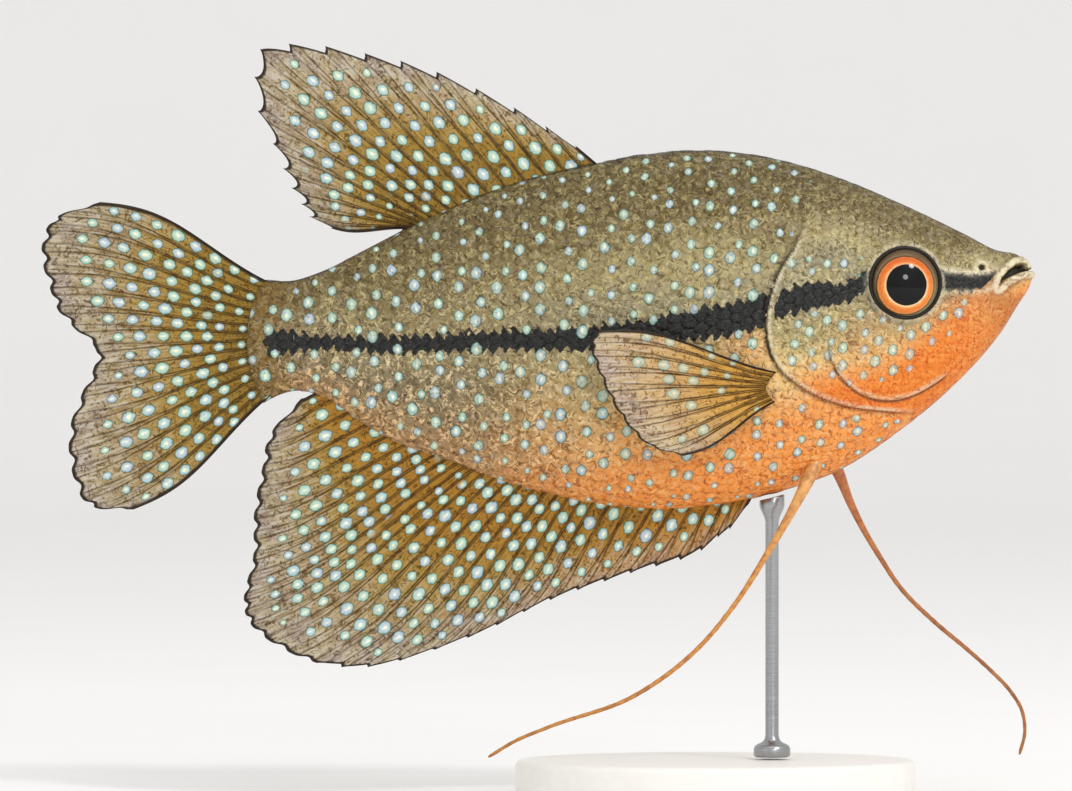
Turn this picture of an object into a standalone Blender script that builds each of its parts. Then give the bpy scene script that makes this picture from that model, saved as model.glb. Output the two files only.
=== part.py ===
"""A pearl gourami, life size, as a still museum model on a plain display stand.

The fish swims with its head towards +X and its back up, and its right side faces -Y.
Sizes are in millimetres, and are turned to metres where a mesh or a curve is made.
A place on the fish is given as (behind, above): how far it lies behind the snout and how
far above the level of the snout. The origin is the centre of the stand's underside.
"""

import math

import bmesh
import bpy
import numpy as np
from mathutils import Euler, Matrix, Vector

MM = 0.001
WELD = 1e-6                 # points closer than this, in metres, are one point

# Driving sizes of the fish and of the stand
SNOUT_X = 38.0              # the snout lies this far ahead of the centre of the stand
SNOUT_Z = 63.0              # and this far above the floor
BODY_LENGTH = 92.4          # from the snout to the root of the tail fin
FRONT = -0.35               # the lower lip reaches this far ahead of the snout
GAP = 0.3                   # air between neighbouring pieces
TAIL_ARC = 1.9              # the root of the tail fin bulges backwards by this
TAIL_ARC_START = 84.0

# Outline and thickness of the body: (behind, size)
BACK = ((-0.35, -0.5), (0.0, 0.6), (0.3, 1.15), (1.5, 2.2), (4.5, 2.9), (8.6, 5.0), (15.8, 8.4),
        (23.0, 11.4), (30.2, 13.6), (38.0, 14.7), (46.0, 14.3), (52.3, 13.2), (60.2, 11.4),
        (70.3, 7.8), (80.2, 2.8), (85.4, 0.2), (89.0, -0.9), (92.4, -0.8))
BELLY = ((-0.35, -0.5), (-0.1, -1.25), (0.3, -2.2), (1.6, -4.2), (3.8, -7.7), (8.6, -13.1),
         (15.8, -19.2), (23.0, -23.9), (30.2, -26.5), (37.0, -27.9), (44.2, -28.6),
         (56.9, -27.1), (68.6, -23.5), (81.1, -18.0), (84.1, -15.7), (88.0, -14.4), (90.2, -14.8),
         (92.4, -15.9))
HALF_WIDTH = ((-0.35, 0.0), (0.3, 1.3), (1.0, 1.9), (3.8, 3.0), (8.6, 4.3), (15.8, 6.0),
              (23.0, 7.2), (31.0, 7.8), (40.0, 7.6), (56.0, 6.0), (74.0, 3.4), (84.0, 2.1),
              (92.4, 1.2))
WIDEST_LINE = ((-0.35, -0.5), (8.6, -2.0), (15.8, -3.0), (30.0, -5.0), (60.0, -7.4), (92.4, -7.7))
BACK_EDGE = ((-0.35, 0.8), (10.0, 0.85), (26.0, 1.05), (60.0, 1.15), (92.4, 1.0))
BELLY_EDGE = ((-0.35, 1.0), (12.0, 1.0), (30.0, 1.1), (60.0, 1.2), (92.4, 1.0))
RING_SIDES = 36
HEAD_RINGS = 12
TRUNK_RINGS = 28
HEAD_END = 12.0             # the rings stand closer together ahead of this
FIRST_RING = 0.12           # root of the first ring's distance from the tip of the snout
THINNEST = 0.05             # no half width or height of a ring is less than this
CUTTER_HALF = 20.0          # cutters are wider than the fish
ABOVE_ALL = 40.0
BELOW_ALL = -60.0
AHEAD_OF_ALL = -20.0
BEHIND_ALL = 130.0
SHARP_ANGLE = math.radians(35)

# Rear edge of the gill cover, which is also where the head ends: (behind, above)
GILL_LINE = ((24.0, 22.0), (25.2, 12.8), (28.1, 4.0), (31.0, -1.1), (32.1, -7.0), (31.0, -11.0),
             (28.4, -13.5), (22.7, -16.0), (17.3, -16.7), (12.8, -17.0), (-6.0, -17.2))
GILL_TOP = 6.2
GILL_FRONT = ((26.0, 6.2), (24.9, 1.0), (24.6, -4.0), (24.5, -9.0), (22.4, -13.2), (18.4, -15.2),
              (15.0, -16.2))
GILL_STEPS = 36
GILL_PROUD = 0.35           # the gill cover stands this far out of the skin
GILL_DEPTH = 1.0            # and reaches this far into it
POCKET_REACH = 2.0          # the pocket for the cover runs on behind the gill line
COVER_NEAR = 1.0            # a cover's outline starts this far from the middle plane
TAIL_CUT = 78.0

# Eye, nostril and mouth
EYE = (15.5, -1.4)
EYE_RADIUS = 4.15
EYE_THICKNESS = 2.4
EYE_SUNK = 0.9
EYE_FORWARD = math.radians(11)
EYE_UP = math.radians(5)
EYE_RIM = 0.32
EYE_SIDES = 20
NOSTRIL = (6.2, 0.5)
NOSTRIL_RADIUS = 0.45
GAPE = ((4.2, -1.9), (3.8, -0.8), (2.9, 0.25), (2.0, 0.9), (1.2, 1.05), (0.75, 0.9), (0.65, 0.4),
        (-1.0, 0.32), (-1.0, 0.08), (0.8, 0.1), (1.7, -0.15), (2.6, -0.55), (3.3, -0.95))
GAPE_DEPTH = 1.0
UPPER_LIP = ((4.3, -1.5), (3.6, 0.1), (2.7, 1.1), (1.7, 1.55), (0.9, 1.5), (0.45, 1.0))
LOWER_LIP = ((4.2, -2.3), (3.2, -1.5), (2.1, -0.95), (1.0, -0.6), (0.3, -0.5), (-0.05, -0.6))
LIP_RADIUS = 0.42
LIP_POINTS = 8
LIP_DRAWN_IN = 0.35         # at the front a lip lies at this share of the skin's distance
LIP_SUNK = 0.1
LIP_END = 0.25              # angle, in radians, at which a lip's rounded end starts

# Fins: each has a number of rays, and a few rays whose root and tip are measured
FIN_HALF = 0.26             # half the thickness of a fin's membrane
FIN_SUNK = 1.4              # a fin's root starts this far inside the body and is cut back
FIN_ROWS = 4
RAY_STEPS = (0.0, 0.2, 0.8)  # where the membrane has a line of points, from one ray to the next
RIDGE_ROOT = 0.22           # a ray stands this far out of the membrane at its root
RIDGE_TIP = 0.1             # and this far at its tip
NOTCH_SHARE = 0.3           # a notch in the margin takes at most this share of a ray
BOW_SKEW = 1.6              # a bent ray bends most beyond its middle
FLESH_SHARE = 0.25          # the fleshy root of a fin is this share of its rays' length
ROOT_HALF = 0.5             # half a fin's thickness at its fleshy root
DORSAL_RAYS = 18
DORSAL_SPINES = 9           # the rays after these are soft
DORSAL_ROOTS = ((0, 52.4), (2, 56.3), (4, 61.0), (6, 65.5), (8, 69.1), (9, 70.3), (11, 72.4),
                (14, 74.3), (17, 75.7))
DORSAL_TIPS = ((0, 54.9, 15.3), (2, 62.2, 19.8), (4, 71.5, 24.1), (6, 80.1, 26.3),
               (8, 89.2, 27.4), (9, 92.6, 26.7), (10, 93.3, 23.4), (11, 92.9, 19.3),
               (12, 91.1, 15.4), (14, 88.9, 10.1), (15, 87.8, 8.2), (16, 86.8, 6.7),
               (17, 84.3, 5.3))
SPINE_NOTCH = (1.2, 0.35)   # depth of the margin's notch behind a ray and ahead of the next
DORSAL_NOTCH = (1.3, 1.2)
DORSAL_SWAY = (0.8, 1.2)    # size and number of the soft waves across the fish
ANAL_RAYS = 32
ANAL_ROOTS = ((0, 33.7), (3, 37.2), (6, 43.3), (9, 50.9), (12, 55.8), (15, 60.0), (17, 63.2),
              (20, 67.4), (22, 69.4), (24, 72.2), (26, 75.6), (28, 80.2), (30, 84.4), (31, 86.4))
ANAL_TIPS = ((0, 34.1, -28.0), (1, 36.3, -30.9), (2, 37.7, -31.9), (3, 39.7, -33.5),
             (6, 48.2, -36.2), (9, 57.8, -39.4), (12, 67.7, -43.9), (15, 79.7, -47.4),
             (17, 85.8, -46.9), (20, 93.6, -42.5), (22, 94.6, -39.1), (24, 93.5, -34.2),
             (26, 93.4, -29.2), (28, 92.4, -23.6), (30, 90.8, -18.5), (31, 87.7, -15.2))
ANAL_NOTCH = (0.65, 0.5)
ANAL_SWAY = (0.8, 1.6)
ANAL_BOW = -0.05            # a ray's bend, as a share of its length
ANAL_BOW_RAY = 15           # reached at this ray
CAUDAL_RAYS = 17
CAUDAL_TIPS = ((0, 111.8, 8.4), (1, 116.4, 7.0), (2, 118.2, 5.4), (3, 118.9, 3.0),
               (5, 117.8, -2.3), (6, 116.9, -4.6), (7, 114.9, -6.8), (8, 112.4, -9.2),
               (9, 112.6, -11.6), (10, 113.9, -14.4), (11, 115.2, -17.8), (13, 115.1, -24.2),
               (14, 114.0, -27.1), (15, 112.0, -28.4), (16, 107.8, -28.5))
CAUDAL_START = -0.3         # the root lies this far behind the end of the body
CAUDAL_TOP_IN = -0.1        # and its ends lie this far inside the body's outline
CAUDAL_LOW_IN = 0.4
CAUDAL_FLESH = 0.9          # thickness that the tail's flesh adds at the middle of the root
CAUDAL_NOTCH = (0.5, 0.5)
CAUDAL_SWAY = (0.9, 1.0)
CAUDAL_BOW = (0.075, -0.065)    # bend of the first and of the last ray
PECTORAL_RAYS = 10
PECTORAL_ROOT = (32.3, -11.7)
PECTORAL_ROOT_HEIGHT = 4.6
PECTORAL_ROOT_ARC = 1.3
PECTORAL_TIPS = ((0, 52.4, -7.2), (1.5, 53.0, -9.0), (3.5, 51.8, -12.8), (5.5, 49.5, -17.2),
                 (7.5, 46.0, -20.8), (9, 42.1, -22.0))
PECTORAL_NOTCH = (0.3, 0.3)
PECTORAL_BOW = (0.065, -0.07)
PECTORAL_ROOT_HALF = 0.55
PECTORAL_SPREAD = math.radians(9)
PECTORAL_OFF_SKIN = 0.7
PECTORAL_PAD = (2.2, 0.9, 3.0)
PAD_OFF_SKIN = 0.5
PAD_AHEAD = 0.9             # the fleshy pad's centre lies ahead of the fin's root

# The two long feelers that the pelvic fins are: (behind, side, above), and their thickness
FEELER_RIGHT = ((25.6, -2.0, -21.9), (27.2, -3.5, -25.3), (29.5, -4.3, -29.6), (32.0, -5.0, -33.8),
                (35.8, -5.8, -39.7), (40.5, -6.6, -45.2), (48.1, -7.7, -50.7), (57.9, -8.3, -54.2),
                (62.0, -8.5, -55.9), (65.2, -8.6, -57.8))
FEELER_LEFT = ((24.6, 2.0, -21.0), (22.9, 3.4, -24.6), (21.6, 4.2, -27.8), (20.0, 4.6, -31.0),
               (17.9, 5.1, -34.5), (15.7, 5.5, -37.8), (11.0, 6.2, -42.5), (7.4, 6.7, -45.5),
               (4.5, 7.1, -48.1), (2.2, 7.4, -50.5), (0.7, 7.7, -53.0), (0.35, 7.8, -55.5),
               (1.0, 7.8, -58.3))
FEELER_RADII = ((0.0, 0.85), (0.06, 0.8), (0.12, 0.6), (0.2, 0.44), (0.33, 0.32), (0.6, 0.27),
                (1.0, 0.25))
FEELER_LENGTHS = ("root", "middle", "tip")
FEELER_POINTS = 12
FEELER_SIDES = 1            # steps of the bevel, which give a feeler six sides

# Stand
BASE_HALF = (24.0, 20.0)
BASE_HEIGHT = 4.5
BASE_EDGE = 0.8
ROD_BEHIND = 31.2
ROD_RADIUS = 0.8
COLLAR_RADIUS = 2.2
COLLAR_STEPS = ((0.5, 1.5), (0.0, 1.0), (0.0, 0.0))     # drop in radius, height above the foot
SADDLE_RADIUS = 1.5
SADDLE_TOP = 1.5            # the saddle reaches into the belly before it is cut to its shape
SADDLE_LOW = 0.9
ROD_NECK = 2.4
ROD_SIDES = 16
BASE_SIDES = 40
BASE_BEVEL_ANGLE = math.radians(50)

# Colours of the plain solids: red, green, blue and roughness
SKIN = (0.36, 0.25, 0.12, 0.5)
HEAD_SKIN = (0.62, 0.27, 0.09, 0.5)
FIN_SKIN = (0.33, 0.21, 0.07, 0.5)
FEELER_SKIN = (0.65, 0.36, 0.11, 0.5)
EYE_BLACK = (0.01, 0.01, 0.01, 0.15)
BASE_PAINT = (0.78, 0.77, 0.74, 0.45)
ROD_STEEL = (0.6, 0.6, 0.6, 0.3)


def through(points, where):
    """Smooth curve through the points (x, y): cubic pieces with averaged slopes."""
    xs, ys = np.array(points, float).T
    slopes = np.gradient(ys, xs)
    left = np.clip(np.searchsorted(xs, where, side="right") - 1, 0, len(xs) - 2)
    step = xs[left + 1] - xs[left]
    t = np.clip((where - xs[left]) / step, 0.0, 1.0)
    start = (1 + 2 * t) * (1 - t) ** 2 * ys[left] + t * (1 - t) ** 2 * step * slopes[left]
    end = t * t * (3 - 2 * t) * ys[left + 1] + t * t * (t - 1) * step * slopes[left + 1]
    return start + end


def along(points, count):
    """Points spaced evenly along the smooth curve through a few points."""
    points = np.array(points, float)
    steps = np.linalg.norm(np.diff(points, axis=0), axis=1)
    travelled = np.concatenate(([0.0], np.cumsum(steps)))
    where = np.linspace(0.0, travelled[-1], count)
    return np.stack([through(np.stack([travelled, axis], 1), where) for axis in points.T], 1)


def measure(table, behind):
    """A size of the body. The root of the distance keeps the snout round."""
    rooted = [(math.sqrt(distance - FRONT), size) for distance, size in table]
    return through(rooted, np.sqrt(np.maximum(np.asarray(behind, float) - FRONT, 0.0)))


def section(behind, angle, grow=0.0):
    """Side and height of the skin: angle 0 is the widest line, a right angle is the back."""
    middle = measure(WIDEST_LINE, behind)
    upper = np.sin(angle) > 0
    reach = np.where(upper, measure(BACK, behind) - middle, middle - measure(BELLY, behind))
    edge = np.where(upper, measure(BACK_EDGE, behind), measure(BELLY_EDGE, behind))
    half = np.maximum(measure(HALF_WIDTH, behind) + grow, THINNEST)
    side = half * np.sign(np.cos(angle)) * np.abs(np.cos(angle)) ** edge
    return side, middle + np.maximum(reach + grow, THINNEST) * np.sin(angle)


def skin_side(behind, above):
    """How far the skin stands from the middle plane at a place on the flank."""
    middle = measure(WIDEST_LINE, behind)
    upper = above > middle
    reach = np.where(upper, measure(BACK, behind) - middle, middle - measure(BELLY, behind))
    edge = np.where(upper, measure(BACK_EDGE, behind), measure(BELLY_EDGE, behind))
    level = np.clip((above - middle) / reach, -1.0, 1.0)
    return measure(HALF_WIDTH, behind) * np.sqrt(1 - level ** 2) ** edge


def place(behind, side, above):
    """World coordinates in metres of places on the fish, one row for each."""
    spots = np.broadcast_arrays(SNOUT_X - np.asarray(behind), side, SNOUT_Z + np.asarray(above))
    return np.stack(spots, -1).reshape(-1, 3) * MM


def clear_scene():
    for piece in list(bpy.data.objects):
        bpy.data.objects.remove(piece, do_unlink=True)


def new_collection(name):
    collection = bpy.data.collections.new(name)
    bpy.context.scene.collection.children.link(collection)
    return collection


def finish_colour(name, colour):
    material = bpy.data.materials.new(name)
    material.use_nodes = True
    shader = material.node_tree.nodes["Principled BSDF"]
    shader.inputs["Base Color"].default_value = (*colour[:3], 1.0)
    shader.inputs["Roughness"].default_value = colour[3]
    return material


def set_mesh(piece, shape):
    """Give a piece the mesh that a bmesh holds, with its faces turned outwards."""
    bmesh.ops.recalc_face_normals(shape, faces=shape.faces)
    shape.to_mesh(piece.data)
    shape.free()


def piece_from_mesh(name, collection, vertices, faces):
    mesh = bpy.data.meshes.new(name)
    mesh.from_pydata(vertices, [], faces)
    piece = bpy.data.objects.new(name, mesh)
    collection.objects.link(piece)
    shape = bmesh.new()
    shape.from_mesh(mesh)
    set_mesh(piece, shape)
    return piece


def mesh_of_curve(piece):
    """Turn a curve object into a mesh object whose caps are welded on."""
    graph = bpy.context.evaluated_depsgraph_get()
    mesh = bpy.data.meshes.new_from_object(piece.evaluated_get(graph))
    solid = bpy.data.objects.new(piece.name, mesh)
    solid.matrix_world = piece.matrix_world.copy()
    piece.users_collection[0].objects.link(solid)
    name = piece.name
    bpy.data.objects.remove(piece, do_unlink=True)
    solid.name = name
    shape = bmesh.new()
    shape.from_mesh(mesh)
    bmesh.ops.remove_doubles(shape, verts=shape.verts, dist=WELD)
    set_mesh(solid, shape)
    return solid


def prism(name, collection, outline, half_thickness, middle=0.0):
    """A flat closed outline of places (behind, above), given thickness across the fish."""
    curve = bpy.data.curves.new(name, "CURVE")
    curve.dimensions = "2D"
    curve.fill_mode = "BOTH"
    curve.extrude = half_thickness * MM
    line = curve.splines.new("POLY")
    line.points.add(len(outline) - 1)
    for point, (behind, above) in zip(line.points, outline):
        point.co = ((SNOUT_X - behind) * MM, (SNOUT_Z + above) * MM, 0.0, 1.0)
    line.use_cyclic_u = True
    piece = bpy.data.objects.new(name, curve)
    piece.rotation_euler = (math.pi / 2, 0.0, 0.0)
    piece.location = (0.0, middle * MM, 0.0)
    collection.objects.link(piece)
    bpy.context.view_layer.update()
    return mesh_of_curve(piece)


def bake(piece):
    """Make what a piece's modifiers show its own mesh."""
    graph = bpy.context.evaluated_depsgraph_get()
    mesh = bpy.data.meshes.new_from_object(piece.evaluated_get(graph))
    old = piece.data
    piece.modifiers.clear()
    piece.data = mesh
    bpy.data.meshes.remove(old)


def boolean(piece, operation, other):
    change = piece.modifiers.new(operation.lower(), "BOOLEAN")
    change.operation = operation
    change.object = other
    bake(piece)


def copy_of(piece, name, collection):
    copied = bpy.data.objects.new(name, piece.data.copy())
    copied.matrix_world = piece.matrix_world.copy()
    collection.objects.link(copied)
    return copied


def keep_largest(piece):
    """Drop loose scraps that a cut leaves, and keep the body with the most faces."""
    shape = bmesh.new()
    shape.from_mesh(piece.data)
    unseen = set(shape.verts)
    islands = []
    while unseen:
        island = {unseen.pop()}
        border = list(island)
        while border:
            vertex = border.pop()
            for edge in vertex.link_edges:
                other = edge.other_vert(vertex)
                if other in unseen:
                    unseen.discard(other)
                    island.add(other)
                    border.append(other)
        islands.append(island)
    islands.sort(key=len)
    for island in islands[:-1]:
        bmesh.ops.delete(shape, geom=list(island), context="VERTS")
    shape.to_mesh(piece.data)
    shape.free()


def cut_to_body(piece, near_body):
    """Cut a piece back to an even gap from the body, so that it follows the body's shape."""
    boolean(piece, "DIFFERENCE", near_body)
    keep_largest(piece)
    return piece


def smooth_shade(piece, material):
    piece.data.materials.clear()
    piece.data.materials.append(material)
    piece.data.shade_smooth()
    piece.data.set_sharp_from_angle(angle=SHARP_ANGLE)


def body_loft(name, collection, grow=0.0):
    """The whole body from snout to tail: rings of equal count, closed by ladders of faces."""
    near = np.linspace(FIRST_RING, math.sqrt(HEAD_END - FRONT), HEAD_RINGS) ** 2 + FRONT
    far = np.linspace(HEAD_END, BODY_LENGTH, TRUNK_RINGS + 1)[1:]
    behind = np.concatenate((near, far))[:, None]
    angle = np.linspace(0.0, 2 * math.pi, RING_SIDES, endpoint=False)[None, :]
    side, above = section(behind, angle, grow)
    top = measure(BACK, behind) + grow
    low = measure(BELLY, behind) - grow
    level = (2 * above - top - low) / (top - low)
    ease = np.clip((behind - TAIL_ARC_START) / (BODY_LENGTH - TAIL_ARC_START), 0.0, 1.0)
    arc = TAIL_ARC * ease ** 2 * (3 - 2 * ease) * (1 - level ** 2)
    stretch = 1 + 2 * grow / (BODY_LENGTH - FRONT)
    shifted = FRONT - grow + (behind - FRONT) * stretch + arc
    vertices = place(shifted, side, above)
    rings = len(behind)
    faces = []
    for ring in range(rings - 1):
        for step in range(RING_SIDES):
            after = (step + 1) % RING_SIDES
            here, there = ring * RING_SIDES, (ring + 1) * RING_SIDES
            faces.append((here + step, here + after, there + after, there + step))
    quarter = RING_SIDES // 4
    for start in (0, (rings - 1) * RING_SIDES):
        for step in range(-quarter, quarter):
            loop = (step, step + 1, 2 * quarter - step - 1, 2 * quarter - step)
            corners = list(dict.fromkeys(corner % RING_SIDES for corner in loop))
            faces.append(tuple(start + corner for corner in corners))
    return piece_from_mesh(name, collection, vertices.tolist(), faces)


def shifted_line(line, offset):
    """A line of places moved sideways, towards the tail for a positive offset."""
    line = np.array(line, float)
    run = np.gradient(line, axis=0)
    run /= np.linalg.norm(run, axis=1)[:, None]
    return line + offset * np.stack([-run[:, 1], run[:, 0]], 1)


def head_outline(offset):
    """Outline that holds the head, with its rear edge on the gill line, moved by an offset."""
    rear = shifted_line(along(GILL_LINE, GILL_STEPS), offset)
    return [*rear.tolist(), (GILL_LINE[-1][0], GILL_LINE[0][1])]


def slab_outline(start, end):
    """Outline that holds everything between two distances behind the snout."""
    return ((start, ABOVE_ALL), (start, BELOW_ALL), (end, BELOW_ALL), (end, ABOVE_ALL))


def gill_cover_outline(room, rear_offset):
    """Outline of a gill cover: the gill line behind, the edge of the cheek in front."""
    top = GILL_TOP + room
    tip = GILL_FRONT[-1][0] - room
    line = shifted_line(along(GILL_LINE, GILL_STEPS), rear_offset)
    rear = [spot for spot in line.tolist() if spot[0] > tip and spot[1] < top]
    front = shifted_line(along(GILL_FRONT, GILL_STEPS // 3), -room)
    front[0, 1] += room
    return [*rear, *front[::-1].tolist()]


def cut_body(parts, cutters):
    """The head, torso and tail stem, parted by thin cuts, and the two gill covers."""
    inner_gill = body_loft("inner_gill", cutters, -GILL_DEPTH - GAP)
    inner_mouth = body_loft("inner_mouth", cutters, -GAPE_DEPTH)
    outer = body_loft("outer_gill", cutters, GILL_PROUD)
    plate_floor = body_loft("plate_floor", cutters, -GILL_DEPTH)
    head_room = prism("head_room", cutters, head_outline(-GAP / 2), CUTTER_HALF)
    torso_room = prism("torso_room", cutters, head_outline(GAP / 2), CUTTER_HALF)
    tail_room = prism("tail_room", cutters, slab_outline(TAIL_CUT - GAP / 2, BEHIND_ALL),
                      CUTTER_HALF)
    torso_side = prism("torso_side", cutters, slab_outline(AHEAD_OF_ALL, TAIL_CUT + GAP / 2),
                       CUTTER_HALF)

    head = body_loft("head", parts)
    torso = copy_of(head, "torso", parts)
    tail = copy_of(head, "tail_stem", parts)
    boolean(head, "INTERSECT", head_room)
    boolean(torso, "DIFFERENCE", torso_room)
    boolean(torso, "DIFFERENCE", tail_room)
    boolean(tail, "DIFFERENCE", torso_side)

    pocket = prism("gill_pocket", cutters, gill_cover_outline(GAP, POCKET_REACH), CUTTER_HALF)
    boolean(pocket, "DIFFERENCE", inner_gill)
    boolean(head, "DIFFERENCE", pocket)
    covers = []
    for word, sign in (("right", -1), ("left", 1)):
        half = (CUTTER_HALF - COVER_NEAR) / 2
        cover = prism(f"gill_cover_{word}", parts, gill_cover_outline(0.0, -GAP / 2), half,
                      middle=sign * (COVER_NEAR + half))
        boolean(cover, "INTERSECT", outer)
        boolean(cover, "DIFFERENCE", plate_floor)
        keep_largest(cover)
        covers.append(cover)

    mouth = prism("mouth", cutters, GAPE, CUTTER_HALF)
    boolean(mouth, "DIFFERENCE", inner_mouth)
    boolean(head, "DIFFERENCE", mouth)
    for piece in (head, torso, tail):
        keep_largest(piece)
    return head, torso, tail, covers


def eye_frame(sign):
    """Centre and turn of an eye: its flat axis points out, a little forward and up."""
    side = sign * (float(skin_side(EYE[0], np.array(EYE[1]))) - EYE_SUNK)
    centre = Vector(place(EYE[0], side, EYE[1])[0])
    turn = Euler((-sign * math.pi / 2 + sign * EYE_UP, 0.0, -sign * EYE_FORWARD)).to_matrix()
    return centre, turn.to_4x4()


def ball(name, collection, radii, where, sides):
    shape = bmesh.new()
    bmesh.ops.create_uvsphere(shape, u_segments=sides, v_segments=sides // 2, radius=1.0,
                              matrix=where @ Matrix.Diagonal((*radii, 1.0)))
    piece = bpy.data.objects.new(name, bpy.data.meshes.new(name))
    collection.objects.link(piece)
    set_mesh(piece, shape)
    return piece


def eyes_and_sockets(head, parts, cutters):
    eyes = []
    for word, sign in (("right", -1), ("left", 1)):
        centre, turn = eye_frame(sign)
        where = Matrix.Translation(centre) @ turn
        radii = [EYE_RADIUS * MM, EYE_RADIUS * MM, EYE_THICKNESS * MM]
        eyes.append(ball(f"eye_{word}", parts, radii, where, EYE_SIDES))
        rim = ring_on_skin(f"eye_rim_{word}", cutters, sign, EYE_RADIUS, EYE_RIM)
        boolean(head, "UNION", rim)
        roomy = [radius + GAP * MM for radius in radii]
        boolean(head, "DIFFERENCE", ball(f"socket_{word}", cutters, roomy, where, EYE_SIDES))
    return eyes


def tube(name, collection, points, radii, resolution=2):
    """A round tube along places in metres, with a radius at each of them."""
    curve = bpy.data.curves.new(name, "CURVE")
    curve.dimensions = "3D"
    curve.bevel_depth = 1.0
    curve.bevel_resolution = resolution
    curve.use_fill_caps = True
    line = curve.splines.new("POLY")
    line.points.add(len(points) - 1)
    for point, spot, radius in zip(line.points, points, radii):
        point.co = (*spot, 1.0)
        point.radius = radius * MM
    piece = bpy.data.objects.new(name, curve)
    collection.objects.link(piece)
    bpy.context.view_layer.update()
    return mesh_of_curve(piece)


def ring_on_skin(name, collection, sign, radius, thickness):
    """A low ring on the skin round an eye."""
    turn = np.linspace(0.0, 2 * math.pi, EYE_SIDES + 1)[:-1]
    behind = EYE[0] + radius * np.cos(turn)
    above = EYE[1] + radius * np.sin(turn)
    side = sign * skin_side(behind, above)
    curve_points = place(behind, side, above)
    curve = bpy.data.curves.new(name, "CURVE")
    curve.dimensions = "3D"
    curve.bevel_depth = thickness * MM
    curve.bevel_resolution = 1
    line = curve.splines.new("POLY")
    line.points.add(len(curve_points) - 1)
    for point, spot in zip(line.points, curve_points):
        point.co = (*spot, 1.0)
    line.use_cyclic_u = True
    piece = bpy.data.objects.new(name, curve)
    collection.objects.link(piece)
    bpy.context.view_layer.update()
    return mesh_of_curve(piece)


def add_lips(head, cutters):
    """Two lips as round rolls, from one corner of the mouth round the front to the other."""
    for name, line in (("upper_lip", UPPER_LIP), ("lower_lip", LOWER_LIP)):
        right = along(line, LIP_POINTS)
        drawn_in = np.linspace(1.0, LIP_DRAWN_IN, LIP_POINTS)
        side = skin_side(right[:, 0], right[:, 1]) * drawn_in - LIP_SUNK
        half = [(behind, -across, above) for (behind, above), across in zip(right, side)]
        middle = (line[-1][0] - LIP_SUNK, 0.0, line[-1][1])
        other = [(behind, -across, above) for behind, across, above in reversed(half)]
        path = np.array([*half, middle, *other])
        roll = LIP_RADIUS * np.sin(np.linspace(LIP_END, math.pi - LIP_END, len(path))) ** 0.4
        spots = place(path[:, 0], path[:, 1], path[:, 2])
        boolean(head, "UNION", tube(name, cutters, spots, roll))


def cut_nostrils(head, cutters):
    for word, sign in (("right", -1), ("left", 1)):
        side = sign * float(skin_side(NOSTRIL[0], np.array(NOSTRIL[1])))
        where = Matrix.Translation(Vector(place(NOSTRIL[0], side, NOSTRIL[1])[0]))
        radii = [NOSTRIL_RADIUS * MM] * 3
        boolean(head, "DIFFERENCE", ball(f"nostril_{word}", cutters, radii, where, 12))


def fin(name, collection, rays, root_of, tip_of, bend_of, inset_of, half_of, side_of):
    """A fin: a membrane between a root and a row of ray tips, the same on both faces.

    Each of the functions takes ray numbers, and half_of and side_of also the share of the
    way from the root to the tip. A ray bends from its straight line by a share of its length,
    and stands out as a ridge of the membrane itself.
    """
    steps = (np.arange(rays - 1)[:, None] + np.array(RAY_STEPS)[None, :]).ravel()
    steps = np.append(steps, rays - 1)
    share = np.linspace(0.0, 1.0, FIN_ROWS + 1)
    number, way = np.meshgrid(steps, share, indexing="ij")
    root = root_of(number)
    chord = tip_of(number) - root
    length = np.linalg.norm(chord, axis=-1)
    sunk = FIN_SUNK / length
    inset = np.minimum(inset_of(number) / length, NOTCH_SHARE)
    reach = way * (1 - inset + sunk) - sunk
    across = np.stack([-chord[..., 1], chord[..., 0]], -1)
    bow = bend_of(number) * np.sin(math.pi * np.maximum(reach, 0.0) ** BOW_SKEW)
    spots = root + chord * reach[..., None] + across * bow[..., None]
    half = half_of(number, way)
    side = side_of(number, way, spots)
    sheets = [place(spots[..., 0], side + sign * half, spots[..., 1]) for sign in (-1, 1)]
    columns, rows = number.shape
    count = columns * rows

    def corner(column, row, sheet):
        return sheet * count + column * rows + row

    faces = []
    for column in range(columns - 1):
        for row in range(rows - 1):
            for sheet in (0, 1):
                a, b = corner(column, row, sheet), corner(column + 1, row, sheet)
                c, d = corner(column + 1, row + 1, sheet), corner(column, row + 1, sheet)
                faces += [(a, b, c), (a, c, d)]
    border = [(column, 0) for column in range(columns)]
    border += [(columns - 1, row) for row in range(1, rows)]
    border += [(column, rows - 1) for column in range(columns - 2, -1, -1)]
    border += [(0, row) for row in range(rows - 2, 0, -1)]
    for here, there in zip(border, border[1:] + border[:1]):
        faces.append((corner(*here, 0), corner(*there, 0), corner(*there, 1), corner(*here, 1)))
    return piece_from_mesh(name, collection, np.concatenate(sheets).tolist(), faces)


def key_tips(table):
    """Tip places by ray number, on the smooth curve through the measured ones."""
    behind = [(number, spot) for number, spot, _ in table]
    above = [(number, spot) for number, _, spot in table]
    return lambda number: np.stack([through(behind, number), through(above, number)], -1)


def notch(number, behind_ray, ahead_of_next):
    """How far the margin draws in between two rays, just after one and just before the next."""
    between = number % 1.0
    return np.where(between == 0.0, 0.0, np.where(between < 0.5, behind_ray, ahead_of_next))


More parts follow.
